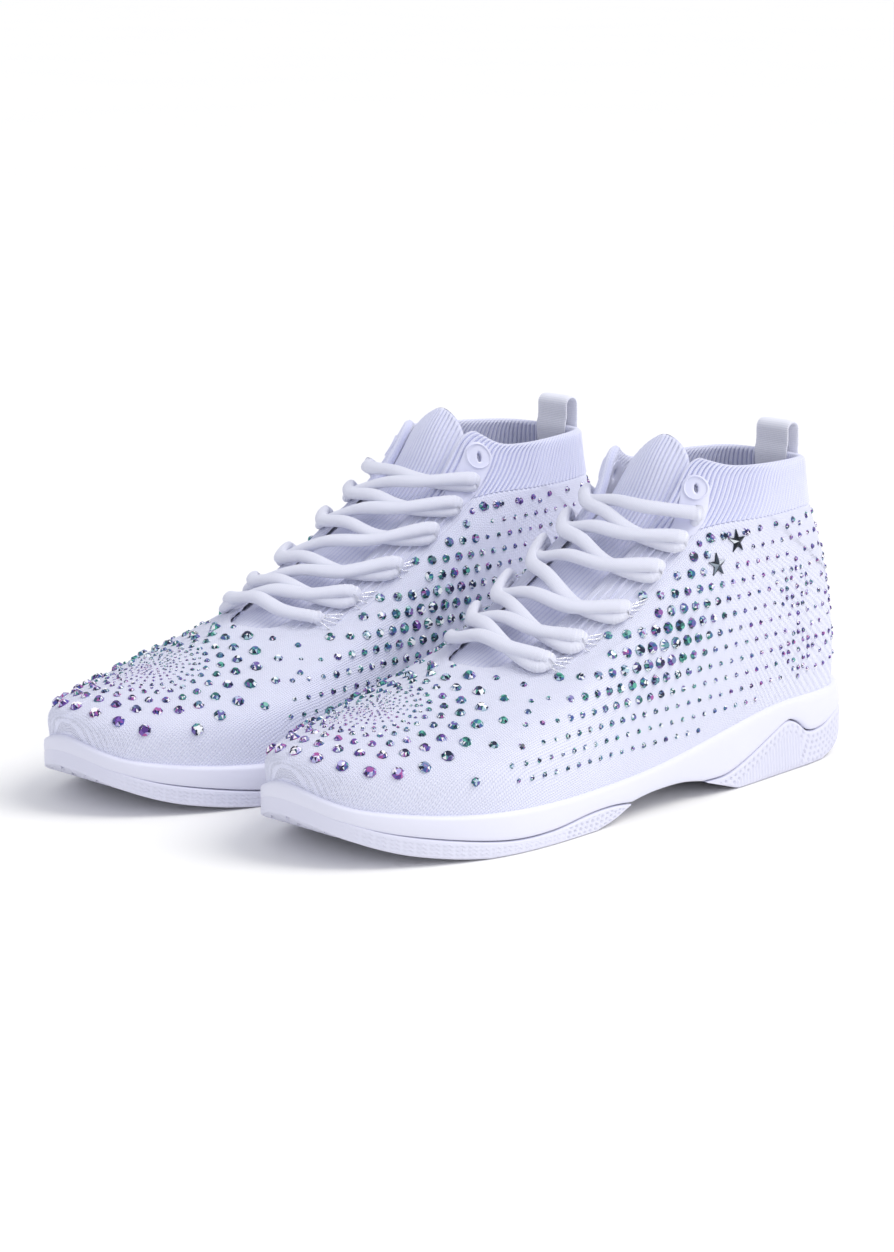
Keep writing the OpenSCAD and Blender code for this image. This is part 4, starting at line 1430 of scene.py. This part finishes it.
RAY_STARTS = (1.6, 6.5, 3.4, 6.5)
ray_end, ray_pitch = 17.5, 1.22
origin, across, up, _ = tangent_frame(0, burst_v)
for ray in range(burst_rays):
    bearing = 2 * math.pi * ray / burst_rays
    for rho in np.arange(RAY_STARTS[ray % 4] + random.random(), ray_end, ray_pitch):
        aimed = origin + rho * (math.sin(bearing) * across - math.cos(bearing) * up)
        add_chip(aimed, 0.95 + 0.02 * rho, 0.45 + 0.4 * (math.cos(bearing) > 0), 0.1)
BURST_RINGS = ((29.5, 1.9), (36.5, 2.3), (44.5, 2.6), (52.5, 2.2), (60, 1.9), (67, 1.7))  # radius, chip size
sole_clear = 6
for ring_index, (radius, size) in enumerate(BURST_RINGS):
    for k in range(burst_rays):
        bearing = 2 * math.pi * (k + ((ring_index + 1) % 2) / 2) / burst_rays
        hit = cast([radius * math.sin(bearing), burst[1] - radius * math.cos(bearing), 200], (0, 0, -1))
        if hit is None or hit[2] <= edge_z(hit[1]) + sole_clear or lace_tree.find(Vector(hit))[2] <= 11:
            continue
        add_chip(hit, size, toe_violet(hit[1]) + random.normal(0, 0.15), 0.8)
field_y, field_z, field_top, field_back = -176, 26, 93, -18
field_pitch_y, field_pitch_z = 6.2, 5.7
for way in (-1, 1):
    for row in range(15):
        for k in range(-6, 28):
            y, z = field_y + field_pitch_y * (k + (row % 2) / 2), field_z + field_pitch_z * row
            hit = cast([way * 150, y, z], (-way, 0, 0))
            if hit is None or z < edge_z(y) + sole_clear or z > field_top or y > field_back:
                continue
            if lace_tree.find(Vector(hit))[2] < 12:
                continue
            if np.hypot(hit[0], hit[1] - burst[1]) < 50 or way * hit[0] < 8:
                continue
            if way > 0 and min(np.linalg.norm(hit - skin(u, v)) for u, v in STARS) < 7.5:
                continue
            add_chip(hit, 1.65 + 0.5 * random.random(), side_violet(y) + random.normal(0, 0.18), 1.2)
heel_step_v, heel_step_u = 0.2, 0.22
for band in np.arange(0.9, 3.75, heel_step_v):
    for place in np.arange(4.3, 7.9, heel_step_u):
        u = place + heel_step_u / 2 * (round(band / heel_step_v) % 2)
        add_chip(over(u, band, 2), 1.8 + 0.5 * random.random(), heel_violet, 1.5, 4.3)

CRYSTAL_GROUPS = (
    ("toe_stones", "crystal", 11), ("outer_side_stones", "crystal", 12), ("inner_side_stones", "crystal", 13),
    ("heel_stones", "crystal_violet", 14),
)
star_d = 9.0
for side in SIDES:
    for group, slot, seed in CRYSTAL_GROUPS:
        name = side + "_" + group.replace("stones", "crystals")
        chosen = [stone[:5] for stone in stones if stone[5] == group]
        made = scattered(name, side, stone_shape, crystal_finish, chosen, seed)
        dress(made, crystal_finish, side + "_shoe", slot, side + "_" + group)
    made = scattered(side + "_crystal_chips", side, stone_shape, crystal_finish, chips, 15)
    dress(made, crystal_finish, side + "_shoe", "crystal")
    stars = []
    for u, v in STARS:
        spot, _ = on_knit(over(u, v, 0.6))
        stars.append((spot - outward(u, v) * 0.1, outward(u, v), tangent_frame(u, v)[2], star_d, 0.0))
    made = scattered(side + "_cut_stars", side, star_shape, star_finish.material, stars, 21)
    dress(made, star_finish.material, side + "_shoe", "star_crystal", side + "_star_studs")

# --- Stitches ---
# Four rows of thread sew the pull tab's outer leg to the back of the shoe. The
# same tree sets them, so each is a short bar that is sunk at both ends.
thread = speckled("stitch_thread", (0.90, 0.90, 0.98), (0.80, 0.81, 0.93), 2500, 0.00004, 0.6)


def short_stitch():
    """One stitch one unit long: a low rounded bar, sunk at both ends."""
    points, faces = [], []
    half = [(0.0, 0.15, 0.12), (0.38, 0.13, 0.06), (0.5, 0.03, -0.10)]
    for x, r, z in [*((-x, r, z) for x, r, z in half[:0:-1]), *half]:
        points += [(x, r * math.cos(a), z + r * math.sin(a)) for a in np.linspace(0, 2 * math.pi, 7)[:-1]]
    for i in range(4):
        for j in range(6):
            k = (j + 1) % 6
            faces.append((i * 6 + j, i * 6 + 6 + j, i * 6 + 6 + k, i * 6 + k))
    faces += [tuple(range(6)), tuple(range(29, 23, -1))]
    return shape_object("short_stitch", points, faces)


stitch_shape = short_stitch()
stitches = []
stitch_length, stitch_pitch, stitch_row_half = 1.8, 2.2, 6.6
tab_facing = unit(np.array([0, 1.0, 0.18]))
leg_y, leg_z = np.transpose(STRAP[:4])
for height in (99.4, 102.2, 111.5, 114.2):
    y = np.interp(height, leg_z, leg_y)
    for x in np.arange(-stitch_row_half, stitch_row_half + 0.1, stitch_pitch):
        place = np.array([x, y, height]) + tab_facing * 0.72
        stitches.append((place, tab_facing, sideways, stitch_length, 0.0))
for side in SIDES:
    made = scattered(side + "_tab_stitches", side, stitch_shape, thread, stitches, 31)
    dress(made, thread, side + "_shoe", "webbing")
